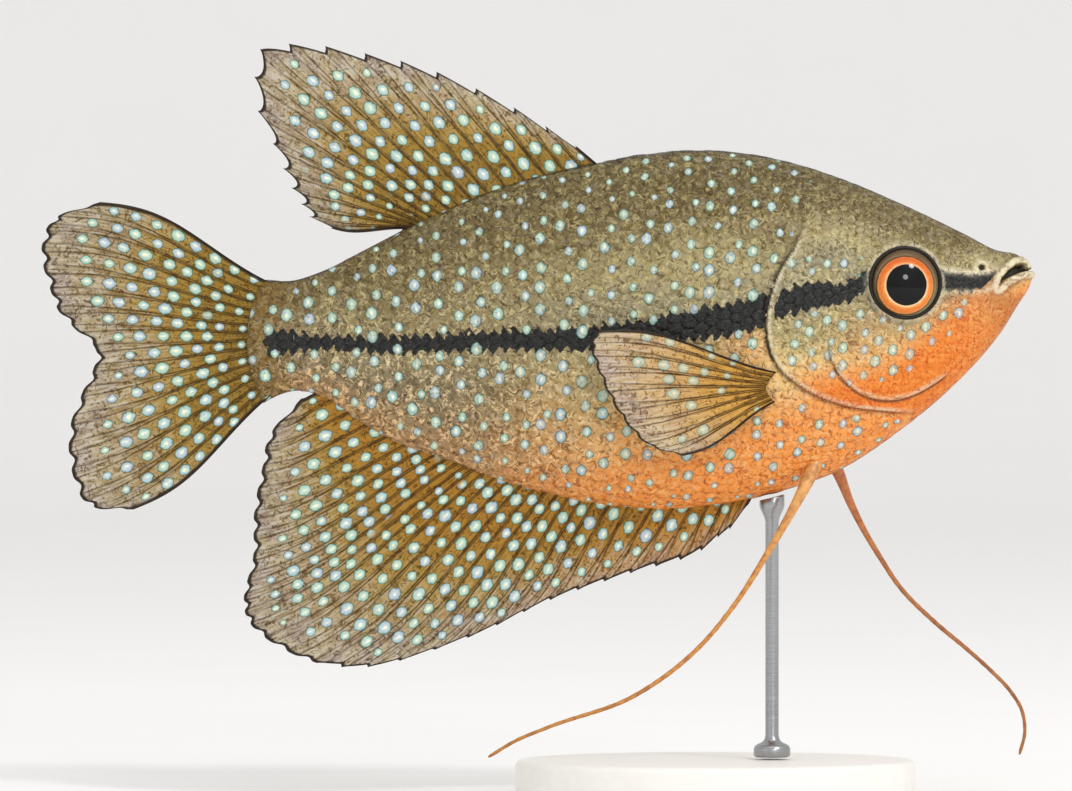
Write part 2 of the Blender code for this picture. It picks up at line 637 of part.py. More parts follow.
def thickness(number, way, root_half):
    """Half the thickness of a fin: a fleshy root, the membrane, and a ridge at each inner ray."""
    flesh = (root_half - FIN_HALF) * np.clip(1 - way / FLESH_SHARE, 0.0, 1.0) ** 2
    ridge = RIDGE_ROOT + (RIDGE_TIP - RIDGE_ROOT) * way
    on_ray = (number % 1.0 == 0.0) & (number > 0) & (number < number.max())
    return FIN_HALF + flesh + np.where(on_ray, ridge, 0.0)


def sway(number, way, size, waves):
    """A soft wave across the fish that grows towards the tips."""
    return size * way ** 2 * np.sin(waves * 2 * math.pi * number / number.max())


def dorsal_fin(parts, near_body):
    def root_of(number):
        behind = through(DORSAL_ROOTS, number)
        return np.stack([behind, measure(BACK, behind)], -1)

    def inset_of(number):
        soft = number > DORSAL_SPINES
        return np.where(soft, notch(number, *DORSAL_NOTCH), notch(number, *SPINE_NOTCH))

    piece = fin("dorsal_fin", parts, DORSAL_RAYS, root_of, key_tips(DORSAL_TIPS),
                lambda number: 0.0 * number, inset_of,
                lambda number, way: thickness(number, way, ROOT_HALF),
                lambda number, way, spots: sway(number, way, *DORSAL_SWAY))
    return cut_to_body(piece, near_body)


def anal_fin(parts, near_body):
    def root_of(number):
        behind = through(ANAL_ROOTS, number)
        return np.stack([behind, measure(BELLY, behind)], -1)

    piece = fin("anal_fin", parts, ANAL_RAYS, root_of, key_tips(ANAL_TIPS),
                lambda number: ANAL_BOW * np.clip(number / ANAL_BOW_RAY, 0.0, 1.0),
                lambda number: notch(number, *ANAL_NOTCH),
                lambda number, way: thickness(number, way, ROOT_HALF),
                lambda number, way, spots: sway(number, way, *ANAL_SWAY))
    return cut_to_body(piece, near_body)


def caudal_fin(parts, near_body):
    def root_of(number):
        level = number / (CAUDAL_RAYS - 1)
        behind = BODY_LENGTH + CAUDAL_START + TAIL_ARC * (1 - (2 * level - 1) ** 2)
        top = float(measure(BACK, BODY_LENGTH)) + CAUDAL_TOP_IN
        low = float(measure(BELLY, BODY_LENGTH)) + CAUDAL_LOW_IN
        return np.stack([behind, top + (low - top) * level], -1)

    def half_of(number, way):
        level = 2 * number / (CAUDAL_RAYS - 1) - 1
        flesh = CAUDAL_FLESH * np.sqrt(np.maximum(1 - level ** 2, 0.0))
        return thickness(number, way, FIN_HALF + flesh)

    piece = fin("caudal_fin", parts, CAUDAL_RAYS, root_of, key_tips(CAUDAL_TIPS),
                lambda number: np.interp(number, (0, CAUDAL_RAYS - 1), CAUDAL_BOW),
                lambda number: notch(number, *CAUDAL_NOTCH), half_of,
                lambda number, way, spots: sway(number, way, *CAUDAL_SWAY))
    return cut_to_body(piece, near_body)


def pectoral_fin(word, sign, parts, near_body):
    def root_of(number):
        level = number / (PECTORAL_RAYS - 1)
        behind = PECTORAL_ROOT[0] + PECTORAL_ROOT_ARC * np.sin(math.pi * level)
        return np.stack([behind, PECTORAL_ROOT[1] - PECTORAL_ROOT_HEIGHT * level], -1)

    def side_of(number, way, spots):
        root = root_of(number)
        start = skin_side(root[..., 0], root[..., 1]) + PECTORAL_OFF_SKIN
        run = np.linalg.norm(spots - root, axis=-1)
        return sign * (start + run * math.tan(PECTORAL_SPREAD))

    piece = fin(f"pectoral_fin_{word}", parts, PECTORAL_RAYS, root_of, key_tips(PECTORAL_TIPS),
                lambda number: np.interp(number, (0, PECTORAL_RAYS - 1), PECTORAL_BOW),
                lambda number: notch(number, *PECTORAL_NOTCH),
                lambda number, way: thickness(number, way, PECTORAL_ROOT_HALF), side_of)
    centre = root_of(np.array(0.5 * (PECTORAL_RAYS - 1)))
    side = sign * (float(skin_side(centre[0], centre[1])) + PAD_OFF_SKIN)
    where = Matrix.Translation(Vector(place(centre[0] - PAD_AHEAD, side, centre[1])[0]))
    radii = [size * MM for size in PECTORAL_PAD]
    pad = ball(f"pectoral_pad_{word}", parts, radii, where, 16)
    boolean(piece, "UNION", pad)
    bpy.data.objects.remove(pad, do_unlink=True)
    return cut_to_body(piece, near_body)


def feeler(word, route, parts, near_body):
    """One pelvic fin, a single long feeler, as three lengths that meet end to end."""
    count = len(FEELER_LENGTHS) * (FEELER_POINTS - 1) + 1
    path = along(route, count)
    share = np.linspace(0.0, 1.0, count)
    radii = through(FEELER_RADII, share)
    pieces = []
    for order, length in enumerate(FEELER_LENGTHS):
        first = order * (FEELER_POINTS - 1)
        part = path[first:first + FEELER_POINTS].copy()
        if order:
            step = part[1] - part[0]
            part[0] += step / np.linalg.norm(step) * GAP
        spots = place(part[:, 0], part[:, 1], part[:, 2])
        name = f"pelvic_fin_{word}_{length}"
        piece = tube(name, parts, spots, radii[first:first + FEELER_POINTS], FEELER_SIDES)
        if order == 0:
            cut_to_body(piece, near_body)
        pieces.append(piece)
    return pieces


def stand_base(parts):
    shape = bmesh.new()
    size = Matrix.Diagonal((BASE_HALF[0] * MM, BASE_HALF[1] * MM, BASE_HEIGHT * MM, 1.0))
    lift = Matrix.Translation((0.0, 0.0, BASE_HEIGHT / 2 * MM))
    bmesh.ops.create_cone(shape, cap_ends=True, segments=BASE_SIDES, radius1=1.0, radius2=1.0,
                          depth=1.0, matrix=lift @ size)
    piece = bpy.data.objects.new("stand_base", bpy.data.meshes.new("stand_base"))
    parts.objects.link(piece)
    set_mesh(piece, shape)
    bevel = piece.modifiers.new("rounded_edge", "BEVEL")
    bevel.width = BASE_EDGE * MM
    bevel.segments = 2
    bevel.limit_method = "ANGLE"
    bevel.angle_limit = BASE_BEVEL_ANGLE
    bake(piece)
    return piece


def stand_rod(parts, near_body):
    """A turned rod with a collar at its foot and a small saddle that takes the belly's shape."""
    low = BASE_HEIGHT + GAP
    high = SNOUT_Z + float(measure(BELLY, ROD_BEHIND))
    collar = [(COLLAR_RADIUS - drop, low + rise) for drop, rise in COLLAR_STEPS]
    profile = [(0.0, high + SADDLE_TOP), (SADDLE_RADIUS, high + SADDLE_TOP),
               (SADDLE_RADIUS, high - SADDLE_LOW), (ROD_RADIUS, high - ROD_NECK),
               (ROD_RADIUS, low + ROD_NECK), *collar, (0.0, low)]
    mesh = bpy.data.meshes.new("stand_rod")
    vertices = [(radius * MM, 0.0, height * MM) for radius, height in profile]
    edges = [(step, step + 1) for step in range(len(profile) - 1)]
    mesh.from_pydata(vertices, edges, [])
    piece = bpy.data.objects.new("stand_rod", mesh)
    piece.location = ((SNOUT_X - ROD_BEHIND) * MM, 0.0, 0.0)
    parts.objects.link(piece)
    turn = piece.modifiers.new("turned", "SCREW")
    turn.steps = turn.render_steps = ROD_SIDES
    turn.use_merge_vertices = True
    turn.merge_threshold = WELD
    bpy.context.view_layer.update()
    bake(piece)
    shape = bmesh.new()
    shape.from_mesh(piece.data)
    set_mesh(piece, shape)
    return cut_to_body(piece, near_body)


def hide_cutters(cutters):
    for cutter in cutters.objects:
        cutter.hide_render = True
        cutter.display_type = "WIRE"


def build():
    clear_scene()
    parts = new_collection("pearl_gourami")
    cutters = new_collection("cutters")
    skin = finish_colour("flank_skin", SKIN)
    head_skin = finish_colour("head_skin", HEAD_SKIN)
    fin_skin = finish_colour("fin_membrane", FIN_SKIN)
    feeler_skin = finish_colour("feeler_skin", FEELER_SKIN)
    near_body = body_loft("near_body", cutters, GAP)

    head, torso, tail, covers = cut_body(parts, cutters)
    add_lips(head, cutters)
    cut_nostrils(head, cutters)
    eyes = eyes_and_sockets(head, parts, cutters)
    keep_largest(head)
    fins = [dorsal_fin(parts, near_body), anal_fin(parts, near_body),
            caudal_fin(parts, near_body)]
    feelers = []
    for word, sign, route in (("right", -1, FEELER_RIGHT), ("left", 1, FEELER_LEFT)):
        fins.append(pectoral_fin(word, sign, parts, near_body))
        feelers += feeler(word, route, parts, near_body)
    base = stand_base(parts)
    rod = stand_rod(parts, near_body)

    finishes = [(piece, skin) for piece in (torso, tail)]
    finishes += [(piece, head_skin) for piece in (head, *covers)]
    finishes += [(piece, finish_colour("eye", EYE_BLACK)) for piece in eyes]
    finishes += [(piece, fin_skin) for piece in fins]
    finishes += [(piece, feeler_skin) for piece in feelers]
    finishes += [(base, finish_colour("painted_wood", BASE_PAINT))]
    finishes += [(rod, finish_colour("steel", ROD_STEEL))]
    for piece, material in finishes:
        smooth_shade(piece, material)
    hide_cutters(cutters)


build()
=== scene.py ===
# %% [markdown]
# # A pearl gourami as a museum model
#
# The fish is a painted model on a plain stand: a body with fine overlapping scales, five thin
# fins with rays, two long feelers, and pearl spots all over. The solid model gives every piece
# its place and size. This lesson dresses it: one skin over the flesh, scales on the skin, fins
# with raised rays, glassy eyes, and paint made of nodes. Sizes are in millimetres, and a place
# on the fish is (behind, above): how far behind the snout, and how far above its level.

import math
from functools import partial

import bpy
import numpy as np
from mathutils import Euler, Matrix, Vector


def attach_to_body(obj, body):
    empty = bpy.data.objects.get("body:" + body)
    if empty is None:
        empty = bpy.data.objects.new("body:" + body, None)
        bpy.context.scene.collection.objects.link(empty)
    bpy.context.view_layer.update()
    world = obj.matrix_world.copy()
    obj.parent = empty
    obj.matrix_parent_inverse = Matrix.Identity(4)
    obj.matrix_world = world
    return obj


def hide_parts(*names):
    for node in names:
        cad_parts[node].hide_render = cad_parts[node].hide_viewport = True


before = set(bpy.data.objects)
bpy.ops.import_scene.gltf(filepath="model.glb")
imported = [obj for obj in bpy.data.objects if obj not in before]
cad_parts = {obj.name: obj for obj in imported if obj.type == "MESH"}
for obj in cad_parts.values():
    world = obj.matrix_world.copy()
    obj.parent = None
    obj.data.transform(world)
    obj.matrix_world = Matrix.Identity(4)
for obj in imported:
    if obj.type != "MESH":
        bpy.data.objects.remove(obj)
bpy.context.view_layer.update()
MM = 0.001
print("nodes:", ", ".join(sorted(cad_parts)))

# %% [markdown]
# ## Curves through a few measured sizes
#
# An animal has no straight edge, but a few measured points and a smooth curve through them
# describe it well. A polynomial through all points would swing between them, and a Bezier
# curve would need handles. A cubic piece between each pair of points, with the slope of its
# neighbours at its ends, passes through every measurement and never swings far.

# %% Smooth curves and soft steps
def through(points, where):
    """Smooth curve through the points (x, y): cubic pieces with averaged slopes."""
    xs, ys = np.array(points, float).T
    slopes = np.gradient(ys, xs)
    left = np.clip(np.searchsorted(xs, where, side="right") - 1, 0, len(xs) - 2)
    step = xs[left + 1] - xs[left]
    t = np.clip((where - xs[left]) / step, 0.0, 1.0)
    start = (1 + 2 * t) * (1 - t) ** 2 * ys[left] + t * (1 - t) ** 2 * step * slopes[left]
    end = t * t * (3 - 2 * t) * ys[left + 1] + t * t * (t - 1) * step * slopes[left + 1]
    return start + end


def along(points, count):
    """Points spaced evenly along the smooth curve through a few points."""
    points = np.array(points, float)
    steps = np.linalg.norm(np.diff(points, axis=0), axis=1)
    travelled = np.concatenate(([0.0], np.cumsum(steps)))
    where = np.linspace(0.0, travelled[-1], count)
    return np.stack([through(np.stack([travelled, axis], 1), where) for axis in points.T], 1)


def soft(value, start, end):
    """Soft step: 0 before start, 1 after end, and 3t^2 - 2t^3 between them."""
    t = np.clip((value - start) / (end - start), 0.0, 1.0)
    return t * t * (3 - 2 * t)


def full_turn(count):
    """Evenly spaced angles round a full turn."""
    return np.linspace(0.0, 2 * math.pi, count, endpoint=False)


def hump(value, centre, width):
    """Bell curve: exp(-((value - centre) / width)^2)."""
    return np.exp(-((value - centre) / width) ** 2)


# %% [markdown]
# ## From arrays to a mesh
#
# A surface here is a function of two parameters, worked out for a whole grid of values at
# once, and the arrays go straight into the mesh. Adding vertices one by one in a loop would
# take minutes for a skin of this size; this takes a moment.

# %% Meshes from arrays
def grid_faces(rows, columns, wrap=False):
    """Quads between the points of a grid, given row by row; wrap joins the last column to the
    first."""
    across = columns if wrap else columns - 1
    row, column = np.meshgrid(np.arange(rows - 1), np.arange(across), indexing="ij")
    after = (column + 1) % columns
    corners = (row * columns + column, row * columns + after,
               (row + 1) * columns + after, (row + 1) * columns + column)
    return np.stack(corners, -1).reshape(-1, 4)


def new_piece(name, spots, *face_arrays):
    """A smooth mesh from places in mm and arrays of corners, one row for each face."""
    mesh = bpy.data.meshes.new(name)
    corners = np.concatenate([faces.ravel() for faces in face_arrays]).astype(np.int32)
    counts = np.concatenate([np.full(len(faces), faces.shape[1]) for faces in face_arrays])
    mesh.vertices.add(len(spots))
    mesh.vertices.foreach_set("co", (np.asarray(spots) * MM).astype(np.float32).ravel())
    mesh.loops.add(len(corners))
    mesh.loops.foreach_set("vertex_index", corners)
    mesh.polygons.add(len(counts))
    starts = np.concatenate(([0], np.cumsum(counts)[:-1])).astype(np.int32)
    mesh.polygons.foreach_set("loop_start", starts)
    mesh.update(calc_edges=True)
    mesh.shade_smooth()
    piece = bpy.data.objects.new(name, mesh)
    bpy.context.scene.collection.objects.link(piece)
    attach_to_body(piece, "root")
    print(f"{name}: {int((counts - 2).sum())} triangles")
    return piece


# %% Closed pieces
def closed_rings(name, rings, first_end, last_end, turned=True):
    """A closed round piece: a grid of places, ring after ring, and the middle of each end.
    Turned, its faces look to the other side of the grid."""
    rows, columns, _ = rings.shape
    ring = np.arange(columns)
    after = np.roll(ring, -1)
    last = (rows - 1) * columns
    end = np.full(columns, rows * columns)
    faces = [grid_faces(rows, columns, wrap=True), np.stack([after, ring, end], 1),
             np.stack([last + ring, last + after, end + 1], 1)]
    if turned:
        faces = [face[:, ::-1] for face in faces]
    return new_piece(name, np.vstack([rings.reshape(-1, 3), first_end, last_end]), *faces)


# %% Numbers and a flat map for a mesh
def attach(piece, name, *channels):
    """Keep up to three numbers for each vertex under a name that a material can read."""
    values = np.zeros((len(piece.data.vertices), 3), np.float32)
    for axis, channel in enumerate(channels):
        values[:, axis] = np.ravel(channel)
    piece.data.attributes.new(name, "FLOAT_VECTOR", "POINT").data.foreach_set(
        "vector", values.ravel())


def set_map(piece, flat, shift=None):
    """UV map for a flat picture of the paint: a place for each vertex, and a shift a face."""
    mesh = piece.data
    corners = np.empty(len(mesh.loops), np.int32)
    mesh.loops.foreach_get("vertex_index", corners)
    values = np.asarray(flat, np.float32)[corners]
    if shift is not None:
        sizes = np.empty(len(mesh.polygons), np.int32)
        mesh.polygons.foreach_get("loop_total", sizes)
        values = values + np.repeat(shift, sizes, axis=0).astype(np.float32)
    mesh.uv_layers.new(name="OFBake").data.foreach_set("uv", values.ravel())


# %% [markdown]
# ## A small helper for materials
#
# Every finish is a tree of shader nodes. One function adds a node, sets its options, and
# links or sets its inputs, so that a material reads from top to bottom. The few kinds that
# nearly every finish needs have short names in one table. Colours are written as the familiar
# hex values, and one function turns them to the linear light that the renderer counts in.

# %% Nodes and colours
def linear(hexed):
    """Linear red, green, blue and alpha of an sRGB hex colour: ((c + 0.055) / 1.055)^2.4, and
    a straight line for the darkest values."""
    parts = [int(hexed[start:start + 2], 16) / 255 for start in (1, 3, 5)]
    return (*(part / 12.92 if part <= 0.04045 else ((part + 0.055) / 1.055) ** 2.4
              for part in parts), 1.0)


# Short names: the node's type, the places of its inputs, its output, and its settings. Tint
# multiplies two colours, and parts gives the three numbers of a colour or a place.
SHORT_NAMES = {
    "mix": ("Mix", (0, 6, 7), 2, {"data_type": "RGBA"}),
    "tint": ("Mix", (0, 6, 7), 2, {"data_type": "RGBA", "blend_type": "MULTIPLY"}),
    "mix_number": ("Mix", (0, 2, 3), 0, {}),
    "noise": ("TexNoise", (0, 2, 3, 8), 0, {}),
    "ramp": ("ValToRGB", (0,), 0, {}),
    "length": ("VectorMath", (0,), 1, {"operation": "LENGTH"}),
    "parts": ("SeparateXYZ", (0,), slice(0, 3), {}),
}


def add_node(tree, kind, *inputs, out=None, stops=(), **settings):
    """Add a node and give its output, and of parts all three. The kind is a short name, a
    node's type, or in lower case an operation on numbers. Inputs are numbers, hex colours or
    outputs, in order or in a dictionary, and a ramp's stops come in rising order."""
    operation = ("Math", range(3), 0, {"operation": kind.upper()})
    usual = operation if kind.islower() else (kind, range(5), 0, {})
    type_name, places, usual_out, fixed = SHORT_NAMES.get(kind, usual)
    node = tree.nodes.new("ShaderNode" + type_name)
    for name, value in {**fixed, **settings}.items():
        setattr(node, name, value)
    for number, (position, colour) in enumerate(stops):
        if number > 1:
            node.color_ramp.elements.new(position)
        node.color_ramp.elements[number].position = position
        node.color_ramp.elements[number].color = linear(colour)
    named = inputs and isinstance(inputs[0], dict)
    for place, given in inputs[0].items() if named else zip(places, inputs):
        if isinstance(given, bpy.types.NodeSocket):
            tree.links.new(given, node.inputs[place])
        elif given is not None:
            node.inputs[place].default_value = linear(given) if isinstance(given, str) else given
    return node.outputs[usual_out if out is None else out] if node.outputs else None


# %% Materials
def new_material(name):
    """A material, a function that adds nodes to its empty tree, and a coordinate in mm that
    stays with the piece."""
    material = bpy.data.materials.new(name)
    material.use_nodes = True
    material.node_tree.nodes.clear()
    add = partial(add_node, material.node_tree)
    spot = add("TexCoord", out="Object")
    spot = add("Mapping", spot, None, None, (1 / MM, 1 / MM, 1 / MM))
    return material, add, spot


def finish_material(add, colour, roughness, height, **fixed):
    """Close a tree with the shader; height is a bump in mm, and fixed values stay unlinked."""
    normal = add("Bump", {"Strength": 1.0, "Distance": MM, "Height": height})
    shader = {"Base Color": colour, "Roughness": roughness, "Normal": normal}
    shader.update({name.replace("_", " "): value for name, value in fixed.items()})
    add("OutputMaterial", {"Surface": add("BsdfPrincipled", shader)})


# %% [markdown]
# ## The shape of the body
#
# The body is a stack of rings from snout to tail. At each distance behind the snout, tables
# give the height of the back and of the belly, the half width, and how sharp the ring is at
# the back and at the belly. They are the solid model's own tables, so the skin lies on it.

# %% Measurements of the body
SNOUT_X = 38.0
SNOUT_Z = 63.0
BODY_LENGTH = 92.4
FRONT = -0.35
TAIL_ARC = 1.9              # the root of the tail fin bulges backwards by this
TAIL_ARC_START = 84.0
COAT = 0.15                 # the skin lies this far inside the solid, and scales fill the rest
BACK = ((-0.35, -0.5), (0.0, 0.6), (0.3, 1.15), (1.5, 2.2), (4.5, 2.9), (8.6, 5.0), (15.8, 8.4),
        (23.0, 11.4), (30.2, 13.6), (38.0, 14.7), (46.0, 14.3), (52.3, 13.2), (60.2, 11.4),
        (70.3, 7.8), (80.2, 2.8), (85.4, 0.2), (89.0, -0.9), (92.4, -0.8))
BELLY = ((-0.35, -0.5), (-0.1, -1.25), (0.3, -2.2), (1.6, -4.2), (3.8, -7.7), (8.6, -13.1),
         (15.8, -19.2), (23.0, -23.9), (30.2, -26.5), (37.0, -27.9), (44.2, -28.6),
         (56.9, -27.1), (68.6, -23.5), (81.1, -18.0), (84.1, -15.7), (88.0, -14.4), (90.2, -14.8),
         (92.4, -15.9))
HALF_WIDTH = ((-0.35, 0.0), (0.3, 1.3), (1.0, 1.9), (3.8, 3.0), (8.6, 4.3), (15.8, 6.0),
              (23.0, 7.2), (31.0, 7.8), (40.0, 7.6), (56.0, 6.0), (74.0, 3.4), (84.0, 2.1),
              (92.4, 1.2))
WIDEST_LINE = ((-0.35, -0.5), (8.6, -2.0), (15.8, -3.0), (30.0, -5.0), (60.0, -7.4), (92.4, -7.7))
BACK_EDGE = ((-0.35, 0.8), (10.0, 0.85), (26.0, 1.05), (60.0, 1.15), (92.4, 1.0))
BELLY_EDGE = ((-0.35, 1.0), (12.0, 1.0), (30.0, 1.1), (60.0, 1.2), (92.4, 1.0))
THINNEST = 0.05
print(f"body {BODY_LENGTH - FRONT:.1f} mm long,",
      f"{2 * max(size for _, size in HALF_WIDTH):.1f} mm wide")


# %% The body as a function
def measure(table, behind):
    """A size of the body. The root of the distance keeps the snout round."""
    rooted = [(math.sqrt(distance - FRONT), size) for distance, size in table]
    return through(rooted, np.sqrt(np.maximum(np.asarray(behind, float) - FRONT, 0.0)))


def body(behind, angle, grow):
    """Place on the body grown by an offset: side = width * cos^edge, above = middle + reach *
    sin, and the last rings bow backwards between back and belly."""
    middle = measure(WIDEST_LINE, behind)
    top = measure(BACK, behind)
    low = measure(BELLY, behind)
    upper = np.sin(angle) > 0
    reach = np.where(upper, top - middle, middle - low)
    edge = np.where(upper, measure(BACK_EDGE, behind), measure(BELLY_EDGE, behind))
    half = np.maximum(measure(HALF_WIDTH, behind) + grow, THINNEST)
    side = half * np.sign(np.cos(angle)) * np.abs(np.cos(angle)) ** edge
    above = middle + np.maximum(reach + grow, THINNEST) * np.sin(angle)
    level = (2 * above - top - low) / (top - low + 2 * grow)
    arc = TAIL_ARC * soft(behind, TAIL_ARC_START, BODY_LENGTH) * (1 - level ** 2)
    stretch = 1 + 2 * grow / (BODY_LENGTH - FRONT)
    return FRONT - grow + (behind - FRONT) * stretch + arc, side, above


def skin_side(behind, above):
    """How far the skin stands from the middle plane at a place on the flank."""
    middle = measure(WIDEST_LINE, behind)
    upper = above > middle
    reach = np.where(upper, measure(BACK, behind) - middle, middle - measure(BELLY, behind))
    edge = np.where(upper, measure(BACK_EDGE, behind), measure(BELLY_EDGE, behind))
    level = np.clip((above - middle) / reach, -1.0, 1.0)
    return measure(HALF_WIDTH, behind) * np.sqrt(1 - level ** 2) ** edge


# %% [markdown]
# ## The lines of the head
#
# A fish's head has bones under thin skin. The gill cover ends in a free edge, the cheek in a
# crescent fold, and the small mouth opens between two rolled lips. These lines are short
# curves in side view. The skin's relief and its paint both ask the same question of them:
# how far is this place from the line, and on which side?

# %% Lines on the head and the distance from them
GILL_LINE = ((24.0, 22.0), (25.2, 12.8), (28.1, 4.0), (31.0, -1.1), (32.1, -7.0), (31.0, -11.0),
             (28.4, -13.5), (22.7, -16.0), (17.3, -16.7), (12.8, -17.0), (-6.0, -17.2))
CHEEK_LINE = ((24.6, -7.8), (24.6, -9.8), (24.0, -11.5), (22.1, -13.8), (20.4, -14.8),
              (18.4, -15.3), (16.0, -15.2), (14.0, -14.6), (11.8, -13.4), (9.6, -11.8))
GAPE = ((4.2, -1.9), (3.8, -0.8), (2.9, 0.25), (2.0, 0.9), (1.2, 1.05), (0.75, 0.9), (0.65, 0.4),
        (-1.0, 0.32), (-1.0, 0.08), (0.8, 0.1), (1.7, -0.15), (2.6, -0.55), (3.3, -0.95))
NOSTRIL = (6.2, 0.5)
EYE = (15.5, -1.4)
EYE_RADIUS = 4.15
PAD = (31.7, -13.9)         # fleshy root of the pectoral fin
CHEEK_BALL = (19.0, -9.5)
SNOUT_HOLLOW = (9.3, 0.6)


# %% Distance from the lines
def distance_to(place, behind, above, stretch=(1.0, 1.0)):
    """Distance from a place in side view; a stretch makes the circle round it an oval."""
    return np.hypot((behind - place[0]) / stretch[0], (above - place[1]) / stretch[1])


def from_segment(start, end, behind, above):
    """From a straight piece of line: its run, the share passed, and the steps off it."""
    run = np.subtract(end, start)
    t = np.clip(((behind - start[0]) * run[0] + (above - start[1]) * run[1])
                / (run @ run), 0.0, 1.0)
    return run, t, (behind - start[0] - t * run[0], above - start[1] - t * run[1])


def line_distance(line, behind, above):
    """Signed distance from a bent line, negative on the snout's side, and the share passed."""
    nearest = np.full(np.shape(behind), np.inf)
    side = np.zeros_like(nearest)
    share = np.zeros_like(nearest)
    for number, (start, end) in enumerate(zip(line[:-1], line[1:])):
        run, t, off = from_segment(start, end, behind, above)
        distance = np.hypot(*off)
        closer = distance < nearest
        nearest = np.where(closer, distance, nearest)
        side = np.where(closer, np.sign(off[0] * -run[1] + off[1] * run[0]), side)
        share = np.where(closer, (number + t) / (len(line) - 1), share)
    return nearest * side, share


def outline_distance(outline, behind, above):
    """Signed distance from a closed outline, negative inside it: a ray to the right that
    crosses the outline an odd number of times started inside."""
    nearest = np.full(np.shape(behind), np.inf)
    inside = np.zeros(np.shape(behind), bool)
    for start, end in zip(outline, outline[1:] + outline[:1]):
        run, _, off = from_segment(start, end, behind, above)
        nearest = np.minimum(nearest, np.hypot(*off))
        spans = (start[1] > above) != (end[1] > above)
        rise = run[1] if run[1] else 1.0
        inside ^= spans & (behind < start[0] + run[0] * (above - start[1]) / rise)
    return np.where(inside, -nearest, nearest)


gill_line = along(GILL_LINE, 60)
cheek_line = along(CHEEK_LINE, 30)
print(f"gill cover edge of {len(gill_line)} points, cheek fold of {len(cheek_line)} points")


def gill_and_cheek(behind, above):
    """Distance from the gill cover's edge and from the cheek's fold, and how clear each is."""
    gill, _ = line_distance(gill_line, behind, above)
    gill_clear = soft(-above, -7.5, -0.5) * soft(behind, 12.5, 18.5)
    cheek, passed = line_distance(cheek_line, behind, above)
    cheek_clear = soft(passed, -0.08, 0.2) * soft(1 - passed, 0.0, 0.1)
    return gill, gill_clear, cheek, cheek_clear


# %% [markdown]
# ## One skin from snout to tail
#
# The solid head, trunk, tail stem and gill covers are parted by thin cuts. A real fish has
# one skin, so a single fine surface takes their place. It could be sculpted by hand. Here
# each point of the ring stack is pushed along its normal by a relief function: lips out, the
# mouth in, eye sockets in, the gill cover's edge raised. A function can be corrected by one
# number, and it gives both sides of the fish the same face.

# %% The relief of the skin
GILL_PROUD = 0.35           # the gill cover stands this far out of the skin
GAPE_DEPTH = 1.0
LIP_WIDTH = 0.9
SOCKET_DEPTH = 1.5


def relief(behind, above):
    """How far the skin stands out, in mm: the sum of the head's forms."""
    gill, gill_clear, cheek, cheek_clear = gill_and_cheek(behind, above)
    cover = GILL_PROUD * np.where(gill < 0, hump(gill, 0.0, 4.5), 0.0)
    cover = cover - 0.2 * soft(gill, -0.1, 0.0) * soft(-gill, -1.0, -0.2)
    fold = 0.15 * np.where(cheek < 0, hump(cheek, 0.0, 2.4), 0.0)
    fold = fold - 0.1 * hump(cheek, 0.06, 0.14)
    gape = outline_distance(GAPE, behind, above)
    mouth = -GAPE_DEPTH * soft(-gape, -0.03, 0.16)
    lip = 0.2 * np.sin(math.pi * np.clip((gape + 0.1) / (LIP_WIDTH + 0.1), 0.0, 1.0))
    lip = lip - 0.06 * hump(gape, LIP_WIDTH + 0.15, 0.2)
    nostril = distance_to(NOSTRIL, behind, above)
    nose = 0.1 * hump(nostril, 0.55, 0.18) - 0.45 * soft(-nostril, -0.42, -0.2)
    eye = distance_to(EYE, behind, above)
    socket = -SOCKET_DEPTH * soft(-eye, -EYE_RADIUS - 0.05, -EYE_RADIUS + 0.5)
    brow = 0.25 * hump(eye, 4.9, 0.9)
    cheek_ball = 0.35 * hump(distance_to(CHEEK_BALL, behind, above), 0.0, 5.0)
    hollow = -0.25 * hump(distance_to(SNOUT_HOLLOW, behind, above, (1.5, 1.0)), 0.0, 1.5)
    pad = hump(distance_to(PAD, behind, above, (1.5, 2.4)), 0.0, 1.0)
    return (cover * gill_clear + fold * cheek_clear + mouth + lip + nose + socket + brow
            + cheek_ball + hollow + pad)


# %% The grid of the skin
RING_COLUMNS = 320
# Rings stand closest at the mouth and widest towards the tail
root_steps = np.linspace(0.1, math.sqrt(5.0 - FRONT), 44) ** 2 + FRONT
ring_at = np.concatenate((root_steps, np.arange(5.2, 33.0, 0.2),
                          np.linspace(33.1, BODY_LENGTH, 112)))
angles = np.linspace(-math.pi / 2, 1.5 * math.pi, RING_COLUMNS, endpoint=False)
behind_ring, angle_ring = np.meshgrid(ring_at, angles, indexing="ij")
skin_behind, skin_across, skin_above = body(behind_ring, angle_ring, -COAT)
base_spots = np.stack([SNOUT_X - skin_behind, skin_across, SNOUT_Z + skin_above], -1)


def unit_normals(spots, wrap):
    """Normals of a grid of places: cross product of the steps along rows and columns."""
    down = np.gradient(spots, axis=0)
    if wrap:
        right = np.roll(spots, -1, axis=1) - np.roll(spots, 1, axis=1)
    else:
        right = np.gradient(spots, axis=1)
    normal = np.cross(down, right)
    return normal / np.maximum(np.linalg.norm(normal, axis=-1, keepdims=True), 1e-9)


skin_normals = unit_normals(base_spots, True)
skin_spots = base_spots + skin_normals * relief(skin_behind, skin_above)[..., None]
standing = np.sum((skin_spots - base_spots) * skin_normals, axis=-1)
print(f"relief from {standing.min():.2f} to {standing.max():.2f} mm")
print("outward normals:", float((skin_normals[..., 1] * skin_across > -1e-3).mean()))


